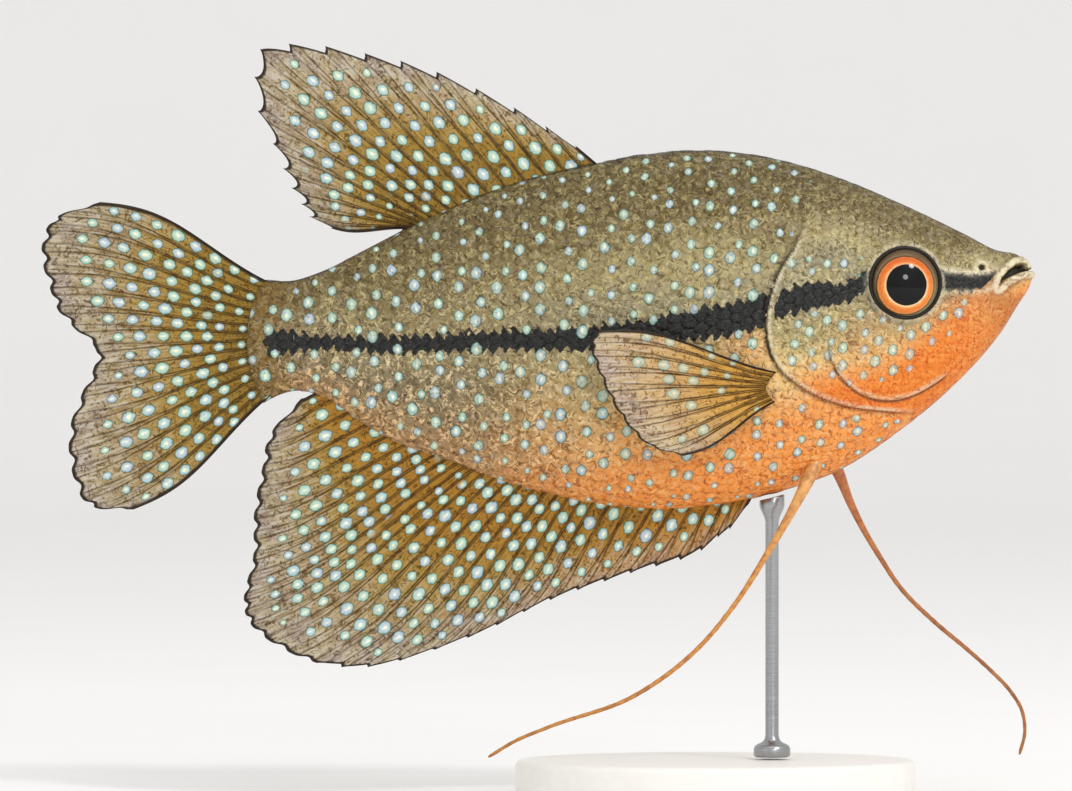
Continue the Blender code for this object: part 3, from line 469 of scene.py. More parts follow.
# %% [markdown]
# ## Where each mark of the fish lies
#
# The paint follows the fish's plan: a ragged black stripe from snout to tail, orange on cheek
# and belly, pearls on scales and fins but none on the snout and throat. Each mark is a
# formula of the place on the body, kept with each vertex as a few numbers: the distance from
# the stripe, the painted shade of creases and hollows, the paleness of rims with their painted
# highlight, the level between belly and back.
# Skin and scales read the same formulas, so a mark runs on from one to the other.

# %% Numbers that the paint reads
STRIPE_LINE = ((3.5, -0.5), (5.5, -1.05), (7.0, -1.25), (9.8, -1.15), (19.8, -0.85),
               (21.3, -1.9), (22.7, -2.5), (26.5, -2.85), (30.2, -3.9), (32.5, -4.6),
               (35.0, -5.5), (39.8, -6.25), (51.8, -7.9), (63.8, -8.3), (75.8, -8.7),
               (87.8, -8.45), (92.6, -8.4))
STRIPE_HALF = ((3.5, 0.6), (5.5, 0.85), (7.0, 0.85), (9.8, 1.0), (19.8, 1.1), (21.3, 1.2),
               (22.7, 1.1), (24.5, 1.35), (26.5, 1.7), (28.6, 1.75), (30.2, 1.6), (32.5, 2.1),
               (35.0, 2.05), (39.8, 1.95), (51.8, 1.5), (63.8, 1.3), (75.8, 1.1), (87.8, 1.2),
               (90.4, 1.6), (92.6, 1.5))
CHEEK_PEARLS = ((7.4, -3.4), (9.0, -3.2), (12.0, -5.6), (15.5, -6.6), (19.6, -4.2), (24.0, -4.6),
                (30.4, -5.2), (30.8, -9.0), (28.6, -12.6), (25.6, -14.6), (20.0, -13.6),
                (15.5, -12.2), (11.6, -9.4), (9.0, -6.4))
BROW_PEARLS = ((19.8, -0.6), (20.6, 1.6), (30.0, 1.6), (30.2, -0.8), (27.0, -0.9), (22.0, -0.5))
SNOUT_PEARLS = ((4.6, 0.5), (4.9, 1.2), (10.6, 1.3), (10.6, 0.5), (7.0, 0.2))
ORANGE_HEAD = ((0.6, -2.6), (3.5, -3.0), (6.1, -3.4), (8.1, -4.5), (11.2, -7.2), (14.2, -9.8),
               (17.6, -12.4), (22.5, -13.4), (30.0, -15.0), (36.0, -18.8), (44.0, -22.2),
               (56.0, -24.2), (64.0, -24.6), (67.0, -30.0), (10.0, -30.0), (0.0, -6.0))
PALE_BREAST = (34.0, -9.5)
ORANGE_CHEEK = (19.5, -10.0)
OLIVE_COVER = (25.0, 1.5)


# %% The size of the pearls and the place of the stripe
def level_of(behind, above):
    """0 at the belly's line and 1 at the back's."""
    low = measure(BELLY, behind)
    return (above - low) / np.maximum(measure(BACK, behind) - low, 1.0)


def pearl_size(behind, above, gill):
    """Full on the flank, less on back and belly. On the face, in a few fields only, and
    negative there, because the face has a closer lattice."""
    level = level_of(behind, above)
    trunk = soft(gill, 0.5, 1.3) * (1 - 0.3 * soft(level, 0.72, 0.95))
    trunk = trunk * (0.62 + 0.38 * soft(level, 0.0, 0.15))
    trunk = trunk * (1 - hump(distance_to(PAD, behind, above), 0.0, 2.6))
    face = 0.0
    for field, size in ((CHEEK_PEARLS, 0.88), (BROW_PEARLS, 0.8), (SNOUT_PEARLS, 0.5)):
        face = np.maximum(face, size * soft(-outline_distance(field, behind, above), -0.5, 0.3))
    return np.where(gill > 0, trunk, -face)


def stripe_place(behind, above):
    """Height over the stripe's middle, its half height, and how far it is withdrawn."""
    gill, gill_clear, _, _ = gill_and_cheek(behind, above)
    gone = 3.0 * soft(-gill, -0.1, 0.15) * soft(gill, -1.05, -0.45) * gill_clear
    gone = gone + 3.0 * soft(4.1 - behind - 0.9 * above, -0.4, 0.3)
    gone = gone + 3.0 * soft(behind, 91.6, 93.0)
    return above - through(STRIPE_LINE, behind), through(STRIPE_HALF, behind), gone


# %% Creases, rims and tones
def marks(behind, above):
    """Painted shade in the creases, mouth, nostril, lip groove, round the eye and under the chin,
    and dark lines on back and belly; paleness of rims, with painted highlight on the edges of
    gill cover and cheek fold; size of the pearls.
    """
    gill, gill_clear, cheek, cheek_clear = gill_and_cheek(behind, above)
    gape = outline_distance(GAPE, behind, above)
    nostril = distance_to(NOSTRIL, behind, above)
    eye = distance_to(EYE, behind, above)
    # Painted shadow: a dark crescent round the eye, behind and below it
    shade = 0.5 * hump(eye, 4.75, 0.35) * soft((behind - EYE[0]) - (above - EYE[1]), 0.0, 6.0)
    back = 0.75 * soft(above - measure(BACK, behind), -0.42, -0.3)
    belly = 0.45 * soft(measure(BELLY, behind) - above, -0.4, -0.28)
    belly = belly * (1 - soft(behind, 32.0, 36.0) * soft(-behind, -88.0, -86.0))
    # Painted shade in the crease along the gill cover's free edge
    fold = soft(gill, -0.1, 0.0) * soft(-gill, -0.42, -0.22) * gill_clear
    fold = fold * (1 - 0.35 * soft(-above, 9.0, 14.0))
    # Painted shade also in the cheek fold, the mouth, the nostril, the groove round the lips and
    # under the chin; the back and belly lines are dark painted lines
    dark = np.maximum.reduce([
        back * soft(behind, 2.5, 4.0), belly * soft(behind, 1.0, 3.0), fold,
        0.95 * hump(cheek, 0.06, 0.15) * cheek_clear,
        soft(-gape, -0.02, 0.1), 0.95 * soft(-nostril, -0.42, -0.3),
        0.35 * hump(gape, LIP_WIDTH + 0.12, 0.15) * soft(-behind, -6.0, -4.0), shade,
        0.35 * soft(-behind, -8.0, -1.5) * soft(-above, 2.2, 3.6)])
    off_middle, half, _ = stripe_place(behind, above)
    beside = hump(off_middle, half + 0.25, 0.35) + 0.6 * hump(off_middle, -half - 0.3, 0.3)
    # Painted highlight along the raised edges of the gill cover and cheek fold; the lips, the
    # nostril's and eye's rims and the bands beside the stripe are pale paint
    pale = np.maximum.reduce([
        0.6 * beside * soft(behind, 3.4, 5.0) * soft(-behind, -12.0, -10.5),
        0.55 * soft(-gill, 0.05, 0.15) * soft(gill, -0.7, -0.25) * gill_clear,
        0.4 * soft(-cheek, 0.1, 0.2) * soft(cheek, -0.7, -0.25) * cheek_clear,
        0.6 * soft(gape, 0.02, 0.12) * soft(-gape, -LIP_WIDTH, -LIP_WIDTH + 0.25),
        0.6 * hump(nostril, 0.66, 0.22), 0.4 * hump(eye, 4.6, 0.2)])
    return dark, pale, pearl_size(behind, above, gill)


def tones(behind, above):
    """Level from belly (0) to back (1), share of vivid orange, share of the tail fin's brown."""
    gill, _ = line_distance(gill_line, behind, above)
    trunk = soft(gill, 0.0, 0.3)
    inside = -outline_distance(ORANGE_HEAD, behind, above)
    orange = soft(inside, -2.0, 1.5) * trunk + soft(inside, -4.2, 1.2) * (1 - trunk)
    orange = orange * (1 - 0.5 * trunk - 0.2 * soft(behind, 42.0, 54.0))
    breast = hump(distance_to(PALE_BREAST, behind, above, (1.4, 1.0)), 0.0, 3.8) * trunk
    pad = hump(distance_to(PAD, behind, above), 0.0, 2.6) * trunk
    cheek = hump(distance_to(ORANGE_CHEEK, behind, above), 0.0, 4.5) * (1 - trunk)
    orange = np.maximum(orange, 0.25 * breast + 0.3 * cheek) * (1 - 0.65 * pad)
    cover = hump(distance_to(OLIVE_COVER, behind, above, (1.2, 1.0)), 0.0, 4.0) * (1 - trunk)
    snout = soft(-behind, -12.0, -4.0)
    orange = orange * (1 - 0.3 * snout)
    level = level_of(behind, above) - 0.08 * breast - 0.04 * pad - 0.14 * cover
    level = level - 0.12 * snout * soft(above, -1.5, 1.5) - 0.05 * (1 - trunk)
    return level, orange, soft(behind, 86.5, 92.0)


# %% [markdown]
# ## A ruler on the skin
#
# Scales and pearls lie in rows that follow the skin, not the side view. So each point gets a
# girth: the distance walked over the skin from the widest line of the flank, up towards the
# back or down towards the belly. The girth and the distance behind the snout are a flat map
# of one side, and a function turns a place on that map back into a place on the skin.

# %% Girth, and places on the skin
half_columns = RING_COLUMNS // 2 + 1
half_spots = skin_spots[:, :half_columns]
half_normals = skin_normals[:, :half_columns]
walked = np.concatenate((np.zeros((len(ring_at), 1)), np.cumsum(np.linalg.norm(
    np.diff(base_spots[:, :half_columns], axis=1), axis=-1), axis=1)), axis=1)
widest = RING_COLUMNS // 4
girth = walked - walked[:, widest:widest + 1]
far_apart = 1000.0          # keeps the rings apart on one line of numbers that only rise
girth_line = (girth + far_apart * np.arange(len(ring_at))[:, None]).ravel()
print(f"girth from {girth.min():.1f} mm at the belly to {girth.max():.1f} mm at the back")


# %% Places on the skin from places on the ruler
def on_skin(behind, around):
    """Place and normal on the left side: on the two nearest rings, find the girth between two
    columns, and blend the four corners."""
    ring = np.interp(behind, ring_at, np.arange(len(ring_at)))
    low_ring = np.clip(ring.astype(int), 0, len(ring_at) - 2)
    blend = (ring - low_ring)[..., None]
    spot, normal = 0.0, 0.0
    for row, weight in ((low_ring, 1 - blend), (low_ring + 1, blend)):
        reach = np.clip(around, girth[row, 0], girth[row, -1])
        column = np.searchsorted(girth_line, reach + far_apart * row) - 1 - row * half_columns
        column = np.clip(column, 0, half_columns - 2)
        start, end = girth[row, column], girth[row, column + 1]
        share = np.clip((reach - start) / np.maximum(end - start, 1e-6), 0.0, 1.0)[..., None]
        spot = spot + weight * ((1 - share) * half_spots[row, column]
                                + share * half_spots[row, column + 1])
        normal = normal + weight * ((1 - share) * half_normals[row, column]
                                    + share * half_normals[row, column + 1])
    past_end = np.maximum(behind - BODY_LENGTH, 0.0)
    spot = spot - past_end[..., None] * (1.0, 0.0, 0.0)
    return spot, normal / np.linalg.norm(normal, axis=-1, keepdims=True)


def map_place(behind, around, side):
    """Place on a flat map of the whole skin, from 0 to 1: right side below, left side above."""
    return np.stack([0.02 + 0.0098 * behind, 0.5 + side * (0.25 + 0.0085 * around)], -1)


def paint_numbers(piece, behind, around, above):
    """Attach what the skin's paint reads."""
    attach(piece, "place", behind, around, above)
    attach(piece, "stripe", *stripe_place(behind, above))
    attach(piece, "marks", *marks(behind, above))
    attach(piece, "tones", *tones(behind, above))


# %% Make the skin
snout_tip = skin_spots[0].mean(axis=0)
tail_tip = skin_spots[-1].mean(axis=0) - (TAIL_ARC / 2, 0.0, 0.0)
skin = closed_rings("skin", skin_spots, snout_tip, tail_tip)
full_girth = np.concatenate((girth, girth[:, -2:0:-1]), axis=1)
ends = [[SNOUT_X - tip[0] for tip in (snout_tip, tail_tip)], [0.0, 0.0],
        [tip[2] - SNOUT_Z for tip in (snout_tip, tail_tip)]]
numbers = [np.append(grid.ravel(), end)
           for grid, end in zip((skin_behind, full_girth, skin_above), ends)]
paint_numbers(skin, *numbers)
centres = np.empty(len(skin.data.polygons) * 3, np.float32)
skin.data.polygons.foreach_get("center", centres)
side_of_face = np.where(centres[1::3] > 0, 1.0, -1.0)
flat = map_place(numbers[0], numbers[1], 1.0) - (0.0, 0.5)
flip = np.where(side_of_face > 0, 0.5, 0.0)
set_map(skin, flat, np.stack([np.zeros_like(flip), flip], 1))
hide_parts("head", "torso", "tail_stem", "gill_cover_right", "gill_cover_left")

# %% [markdown]
# ## Painted skin
#
# The model is cast resin, painted by hand in thin coats and closed with satin varnish. The
# eye sees three things: soft changes of colour from back to belly, fine pen-like flecks in
# every coat, and the clear gleam of the varnish. So the colour comes from two ramps over the
# level between belly and back, one for the front and one for the tail, and noise at the size
# of the flecks breaks them up. The pearls are drawn last. Each is an upright oval with a
# cream streak down its heart as a painted highlight, a pale blue body and a thin dark rim,
# and they stand in staggered columns. Over them, the head gets painted shade in its creases
# and hollows and painted highlight on its raised rims.

# %% One pearl, for the skin and for the fins
def draw_pearl(add, colour, spot, wide, long, size, tint_chance, there):
    """Draw a pearl from the steps off its heart, as shares of its half width and half length.
    Its outline is mostly an oval and partly a lens, which gives the slightly pointed ends, and
    a fine noise breaks it up like dabs of a brush."""
    dabs = add("noise", spot, 1 / 0.4, 1.5)
    dabs = add("subtract", dabs, 0.5)
    wide = add("divide", wide, size)
    long = add("divide", long, size)
    oval = add("length", add("CombineXYZ", wide, long))
    lens = add("absolute", wide)
    lens = add("multiply_add", long, long, lens)
    away = add("mix_number", 0.35, oval, lens)
    away = add("multiply_add", dabs, 0.5, away)
    turned = add("multiply_add", dabs, 2.2, tint_chance)
    tint = add("ramp", turned, stops=((0.0, "#d2ece0"), (0.25, "#e8f2d2"), (0.5, "#d6eae8"),
                                      (0.8, "#dce6f2"), (1.0, "#e4e0f2")))
    rings = add("ramp", away, stops=((0.0, "#dce6e0"), (0.45, "#d2e0dc"), (0.7, "#bfd4d2"),
                                     (0.84, "#9ab4b0"), (0.93, "#5e766c"), (1.0, "#4a5a4a")))
    rings = add("tint", 0.9, rings, tint)
    # Painted highlight: a cream streak down the middle of each pearl
    highlight_streak = add("multiply_add", wide, 2.0, 0.12)
    tall = add("multiply", long, 1.25)
    highlight_streak = add("length", add("CombineXYZ", highlight_streak, tall))
    highlight_streak = add("multiply_add", dabs, 1.4, highlight_streak)
    rings = add("mix", add("MapRange", highlight_streak, 0.15, 0.65, 0.85, 0.0), rings, "#faf8dc")
    seen = add("MapRange", away, 0.94, 1.1, 0.95, 0.0)
    seen = add("multiply", seen, there)
    dome = add("MapRange", away, 0.0, 1.0, 0.06, 0.0, interpolation_type="SMOOTHSTEP")
    dome = add("multiply", dome, there)
    return (add("mix", seen, colour, rings), dome)


# %% Sizes of the pearls and strokes
CURL = 1.0                  # size of the pen's curls
PEARL_COLUMN = 2.52         # the pearls' columns stand this far apart
PEARL_ROW = 2.88            # and the pearls of one column this far
PEARL_HALF = (0.66, 0.78)   # half width and half height of a pearl
PEARL_SPREAD = 0.5          # how far the pearls stray from their lattice
PEARL_FACE = 0.8            # the lattice of the face is closer by this
TOOTH = 1.33                # the stripe's edge has a tooth at each scale


# %% Pen strokes and the colours of the body
def curls(add, spot, size):
    """Bands of a twisted noise: a triangle wave of it gives lines that curl like pen strokes."""
    twisted = add("noise", spot, 1 / size, 2.5, 1.2)
    wave = add("multiply", twisted, 6.0)
    return add("pingpong", wave, 1.0)


def body_colour(add, spot, behind, level, orange, tail):
    """Two ramps from belly to back, for front and rear, then orange, brown and pen strokes."""
    cloud = add("noise", spot, 0.25, 4.0)
    uneven = add("subtract", cloud, 0.5)
    level = add("multiply_add", uneven, 0.2, level)
    front = add("ramp", level, stops=((0.0, "#f89c40"), (0.16, "#fbb05a"), (0.3, "#e2bc75"),
                                      (0.42, "#a99a66"), (0.53, "#8b8566"), (0.66, "#a49669"),
                                      (0.82, "#67572b"), (1.0, "#5c4e28")))
    rear = add("ramp", level, stops=((0.0, "#a67f54"), (0.22, "#786a4b"), (0.5, "#8a7b54"),
                                     (0.8, "#6d5d34"), (1.0, "#5e502c")))
    rearward = add("MapRange", behind, 40.0, 72.0, 0.0, 1.0, interpolation_type="SMOOTHSTEP")
    colour = add("mix", rearward, front, rear)
    patchy = add("parts", add("noise", spot, 0.7, 3.0, out="Color"))
    mauve = add("MapRange", patchy[0], 0.5, 0.72, 0.0, 0.5)
    ochre = add("MapRange", patchy[1], 0.5, 0.72, 0.0, 0.5)
    colour = add("mix", mauve, colour, add("tint", 1.0, colour, "#e0d4f0"))
    colour = add("mix", ochre, colour, add("tint", 1.0, colour, "#fff0a8"))
    vivid = add("mix", cloud, "#dd6607", "#e88626")
    colour = add("mix", orange, colour, vivid)
    colour = add("mix", tail, colour, "#735820")

    # Pen strokes: parts of the curls only, so that they stay short
    stroke = curls(add, spot, CURL)
    fine = curls(add, spot, 0.5 * CURL)
    pressed = add("parts", add("noise", spot, 1 / 0.8, 1.0, out="Color"))
    light = add("multiply", stroke, pressed[0])
    light = add("MapRange", light, 0.38, 0.58, 0.0, 0.75)
    thin = add("multiply", fine, pressed[1])
    thin = add("MapRange", thin, 0.42, 0.58, 0.0, 0.6)
    light = add("maximum", light, thin)
    light = add("multiply", light, add("mix_number", tail, 1.0, 0.4))
    calmer = add("MapRange", level, 0.5, 0.85, 1.0, 0.75)
    light = add("multiply", light, calmer)
    paler = add("ramp", level, stops=((0.0, "#fbcb8c"), (0.35, "#ecd8aa"), (0.6, "#cdbf8b"),
                                      (1.0, "#b4a468")))
    paler = add("mix", orange, paler, "#f29a40")
    colour = add("mix", light, colour, paler)
    lilac = add("MapRange", pressed[2], 0.54, 0.66, 0.0, 0.25)
    colour = add("mix", lilac, colour, add("mix", orange, "#9c927f", "#e68f40"))
    shade = add("subtract", stroke, pressed[1])
    shade = add("MapRange", shade, -0.5, -0.1, 0.75, 0.0)
    deeper = add("mix", orange, "#8a744c", "#de8f58")
    colour = add("mix", shade, colour, add("tint", 1.0, colour, deeper))
    return colour, stroke, fine, uneven


# %% The whole paint of the skin
def skin_paint(name):
    """Body colour, stripe, pearls, then the pale rims with painted highlight and the painted shade
    in the creases of the head, under a satin varnish whose gleam breaks on the strokes of the
    brush."""
    material, add, spot = new_material(name)
    place, toned, striped, marked = (
        add("parts", add("Attribute", out="Vector", attribute_name=kept))
        for kept in ("place", "tones", "stripe", "marks"))
    behind, around, _ = place
    colour, stroke, fine, uneven = body_colour(add, spot, behind, *toned)

    # The black stripe: a tooth at each scale, and an uneven edge
    off_middle, half, gone = striped
    ragged = add("noise", spot, 1 / 0.75, 3.0)
    tooth = add("divide", behind, TOOTH / 2)
    tooth = add("multiply_add", ragged, 1.6, tooth)
    tooth = add("pingpong", tooth, 1.0)
    edge = add("absolute", off_middle)
    edge = add("subtract", edge, half)
    edge = add("add", edge, gone)
    bite = add("MapRange", behind, 10.0, 32.0, 0.3, 0.8)
    edge = add("multiply_add", tooth, bite, edge)
    edge = add("multiply_add", ragged, 1.5, edge)
    black = add("MapRange", edge, 0.98, 1.14, 1.0, 0.0)
    soot = add("mix", add("MapRange", fine, 0.8, 1.0, 0.0, 1.0), "#080808", "#3d3c38")
    colour = add("mix", black, colour, soot)

    # Pearls: the hearts of a slightly uneven lattice of staggered columns
    dark, pale, wanted = marked
    on_face = add("less_than", wanted, 0.0)
    closer = add("multiply_add", on_face, PEARL_FACE - 1.0, 1.0)
    column_step = add("multiply", closer, PEARL_COLUMN)
    row_step = add("multiply", closer, PEARL_ROW)
    column = add("divide", behind, column_step)
    row = add("divide", around, row_step)
    row = add("multiply_add", column, -0.5, row)
    cells = {"Vector": add("CombineXYZ", column, row), "Scale": 1.0, "Randomness": PEARL_SPREAD}
    heart = add("parts", add("TexVoronoi", cells, out="Position", voronoi_dimensions="2D"))
    chance = add("parts", add("TexVoronoi", cells, out="Color", voronoi_dimensions="2D"))
    heart_column = heart[0]
    heart_row = add("multiply_add", heart_column, 0.5, heart[1])
    off_column = add("multiply", heart_column, column_step)
    off_column = add("subtract", behind, off_column)
    off_row = add("multiply", heart_row, row_step)
    off_row = add("subtract", around, off_row)
    in_stripe = add("subtract", off_middle, off_row)
    in_stripe = add("absolute", in_stripe)
    in_stripe = add("subtract", half, in_stripe)
    clear = add("less_than", in_stripe, 0.64)
    size = add("MapRange", chance[0], 0.0, 1.0, 0.72, 1.12)
    size = add("multiply", size, add("absolute", wanted))
    size = add("multiply_add", uneven, 0.2, size)
    there = add("greater_than", size, 0.36)
    there = add("multiply", there, clear)
    faint = add("MapRange", chance[2], 0.0, 1.0, 0.78, 1.05)
    faint = add("multiply_add", on_face, -0.14, faint)
    there = add("multiply", there, faint)
    size = add("maximum", size, 0.01)
    wide = add("divide", off_column, PEARL_HALF[0])
    high = add("divide", off_row, PEARL_HALF[1])
    colour, dome = draw_pearl(add, colour, spot, wide, high, size, chance[1],
                              there)

    # Pale rims with painted highlight on the head, broken up by the strokes, then painted shade in
    # its creases and hollows and dark lines on back and belly
    stroke_breakup = add("MapRange", stroke, 0.0, 1.0, 0.3, 1.6)
    pale = add("multiply", pale, stroke_breakup)
    colour = add("mix", pale, colour, "#e2d7b8")
    colour = add("mix", dark, colour, "#21160f")
    gloss = add("MapRange", stroke, 0.0, 1.0, 0.5, 0.38)
    height = add("multiply_add", stroke, 0.05, dome)
    height = add("multiply_add", fine, 0.02, height)
    finish_material(add, colour, gloss, height, Specular_IOR_Level=0.3, Coat_Weight=0.12,
                    Coat_Roughness=0.22)
    return material


satin_skin = skin_paint("varnished_skin_paint")
skin.data.materials.append(satin_skin)
print(satin_skin.name, "has", len(satin_skin.node_tree.nodes), "nodes")

# %% [markdown]
# ## Scales
#
# Thin plates lie like roof tiles, each with its front edge under the one before it and its
# rounded rear edge free. Thousands of separate objects would be slow, and a bump map has no
# edge. So every scale is a small closed plate of a few dozen faces, and all scales of one
# side are a single mesh worked out as one array: for each scale a place on the ruler of the
# skin, and for each corner a step from it.

# %% Plan of the scales
SCALE_STEP = 1.33           # from one scale to the next towards the tail
SCALE_ROW = 1.15            # from one row to the next
SCALE_HALF = (1.0, 0.7)     # half length and half width
SCALE_LIFT = 0.07           # the free edge stands this far above the skin
SCALE_WALL = 0.06
SCALE_SIDES = 12
SCALE_SIZE = ((6.0, 0.5), (12.0, 0.56), (20.0, 0.72), (27.0, 0.86), (34.0, 1.0), (95.0, 1.0))
SMALLEST_ROOM = 0.25


def scale_plan():
    """Middle of each scale on the ruler: rows a row apart, each second column half a row up.
    A column's scales all have the size that the face or the trunk has there."""
    columns = []
    behind = 6.0
    while behind < BODY_LENGTH:
        size = float(through(SCALE_SIZE, behind))
        ring = int(np.searchsorted(ring_at, behind))
        row = SCALE_ROW * size
        low, high = girth[ring, 0], girth[ring, -1]
        steps = np.arange(math.ceil(low / row), high / row)
        around = (steps + 0.5 * (len(columns) % 2)) * row
        around = around[(around > low + SMALLEST_ROOM) & (around < high - SMALLEST_ROOM)]
        columns.append(np.stack([np.full(len(around), behind), around,
                                 np.full(len(around), size)], 1))
        behind += SCALE_STEP * size
    return np.concatenate(columns)


def free_of_edges(plan):
    """Leave out scales on the eye, mouth, nostril and folds, whose skin is bare."""
    spot, _ = on_skin(plan[:, 0], plan[:, 1])
    behind, above = SNOUT_X - spot[:, 0], spot[:, 2] - SNOUT_Z
    gill, gill_clear, cheek, cheek_clear = gill_and_cheek(behind, above)
    near_gill = (gill > -1.0) & (gill < 0.6) & (gill_clear > 0.2)
    near_cheek = (np.abs(cheek) < 0.45) & (cheek_clear > 0.2)
    eye = distance_to(EYE, behind, above) < 5.2
    nose = distance_to(NOSTRIL, behind, above) < 1.4
    snout = outline_distance(GAPE, behind, above) < 3.0
    return plan[~(near_gill | near_cheek | eye | nose | snout)]


plan = free_of_edges(scale_plan())
print(len(plan), "scales a side")

# %% Build the scales of each side
def scale_shape():
    """One plate as steps (along, across, up): a low dome whose height rises to the rear."""
    turn = full_turn(SCALE_SIDES)
    rings = []
    for radius, drop in ((0.0, 0.0), (0.6, 0.0), (1.0, 0.0), (1.0, SCALE_WALL)):
        count = 1 if radius == 0.0 else SCALE_SIDES
        at = turn[:count]
        along_it = radius * np.cos(at)
        across = radius * np.sin(at) * (1 - 0.12 * np.cos(at))
        up = 0.5 * (1 + along_it) * SCALE_LIFT + 0.05 * (1 - radius ** 2) - drop
        rings.append(np.stack([along_it, across, up], 1))
    corners = np.concatenate(rings)
    around = np.arange(SCALE_SIDES)
    after = (around + 1) % SCALE_SIDES
    first, second, third = 1, 1 + SCALE_SIDES, 1 + 2 * SCALE_SIDES
    fan = np.stack([np.zeros_like(around), first + around, first + after], 1)
    slope = np.stack([first + around, second + around, second + after, first + after], 1)
    wall = np.stack([second + around, third + around, third + after, second + after], 1)
    floor = (third + around[::-1])[None, :]
    return corners, (fan, slope, wall, floor)


def scales(word, side, seed):
    """All scales of one side: every plate's corners are carried to the skin together."""
    chance = np.random.default_rng(seed)
    corners, shapes = scale_shape()
    size = plan[:, 2:3] * chance.uniform(0.95, 1.06, (len(plan), 1))
    turn = chance.normal(0.0, 0.12, (len(plan), 1))
    lift = chance.uniform(0.6, 1.2, (len(plan), 1)) * plan[:, 2:3] ** 2
    stray = chance.uniform(-0.13, 0.13, (2, len(plan), 1)) * size
    along_it = corners[None, :, 0] * SCALE_HALF[0] * size
    across = corners[None, :, 1] * SCALE_HALF[1] * size
    behind = plan[:, 0:1] + stray[0] + along_it * np.cos(turn) - across * np.sin(turn)
    around = plan[:, 1:2] + stray[1] + along_it * np.sin(turn) + across * np.cos(turn)
    spot, normal = on_skin(behind, around)
    spot = spot + normal * (corners[None, :, 2:3] * lift[..., None])
    if side < 0:
        spot = spot * (1.0, -1.0, 1.0)
    count = len(corners)
    shift = np.arange(len(plan))[:, None, None] * count
    faces = []
    for shape in shapes:
        turned = shape[:, ::-1] if side < 0 else shape
        faces.append((turned[None] + shift).reshape(-1, shape.shape[1]))
    piece = new_piece(f"scales_{word}", spot.reshape(-1, 3), *faces)
    seen_behind = SNOUT_X - spot[..., 0]
    paint_numbers(piece, seen_behind.ravel(), around.ravel(), (spot[..., 2] - SNOUT_Z).ravel())
    patch = 0.0015 * corners[None, :, :2]
    flat = map_place(plan[:, 0:1], plan[:, 1:2], side) + patch
    set_map(piece, flat.reshape(-1, 2))
    piece.data.materials.append(satin_skin)
    return piece


for word, side, seed in (("right", -1, 11), ("left", 1, 12)):
    scales(word, side, seed)

# %% [markdown]
# ## Eyes
#
# A museum model has glass eyes, painted from behind and set into the head. Real glass over a
# painted disc would be possible, but clear shells are slow to render and lose their look when
# exported. One dome with the iris painted on it and a clear hard coat over the paint shows
# the same: a black pupil, an orange iris, and a sharp reflection.

# %% Shape of the eyes
EYE_THICKNESS = 2.4
EYE_SUNK = 0.9
EYE_FORWARD = math.radians(11)
EYE_UP = math.radians(5)
EYE_RINGS = 56
EYE_SIDES = 96
EYE_POLE = 0.004            # the first and last ring stop this angle before the axis
IRIS_SHIFT = (-0.28, -0.42) # the iris sits back and low on the dome: forward, up
RIM_RADIUS = 4.2
RIM_HALF = 0.24
RIM_SIDES = 120             # sides round the eye
ROLL_SIDES = 14             # and round the roll


def eye_frame(side):
    """Centre in mm and turn of an eye: its flat axis points out, a little forward and up."""
    out = side * (float(skin_side(EYE[0], np.array(EYE[1]))) - EYE_SUNK)
    turn = Euler((-side * math.pi / 2 + side * EYE_UP, 0.0, -side * EYE_FORWARD)).to_matrix()
    return np.array((SNOUT_X - EYE[0], out, SNOUT_Z + EYE[1])), np.array(turn)


def eye(word, side):
    """An ellipsoid: radius * sin(a) round the axis, thickness * cos(a) along it."""
    centre, turn = eye_frame(side)
    polar = np.linspace(EYE_POLE, math.pi - EYE_POLE, EYE_RINGS)
    turned = full_turn(EYE_SIDES)
    a, b = np.meshgrid(polar, turned, indexing="ij")
    local = np.stack([EYE_RADIUS * np.sin(a) * np.cos(b), EYE_RADIUS * np.sin(a) * np.sin(b),
                      EYE_THICKNESS * np.cos(a)], -1)
    ends = np.array(((0, 0, EYE_THICKNESS), (0, 0, -EYE_THICKNESS)))
    piece = closed_rings(f"eye_{word}_glass", local @ turn.T + centre, *(ends @ turn.T + centre))
    local = np.vstack([local.reshape(-1, 3), ends])
    attach(piece, "iris", local[:, 0] - IRIS_SHIFT[0], -side * local[:, 1] - IRIS_SHIFT[1],
           local[:, 2])
    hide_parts(f"eye_{word}")
    return piece


# %% Shape of the dark rims
def eye_rim(word, side):
    """A round roll of dark skin that holds the eye: a circle carried round a circle."""
    a, b = np.meshgrid(full_turn(RIM_SIDES), full_turn(ROLL_SIDES), indexing="ij")
    behind = EYE[0] + RIM_RADIUS * np.cos(a)
    above = EYE[1] + RIM_RADIUS * np.sin(a)
    out = skin_side(behind, above) - 0.02
    roll = RIM_HALF * np.cos(b)
    spots = np.stack([SNOUT_X - behind - roll * np.cos(a), side * (out + RIM_HALF * np.sin(b)),
                      SNOUT_Z + above + roll * np.sin(a)], -1)
    first = np.arange(ROLL_SIDES)
    last = (RIM_SIDES - 1) * ROLL_SIDES + first
    closing = np.stack([last, np.roll(last, -1), np.roll(first, -1), first], 1)
    faces = np.vstack([grid_faces(RIM_SIDES, ROLL_SIDES, wrap=True), closing])
    if side > 0:
        faces = faces[:, ::-1]
    piece = new_piece(f"eye_rim_{word}", spots.reshape(-1, 3), faces)
    return piece


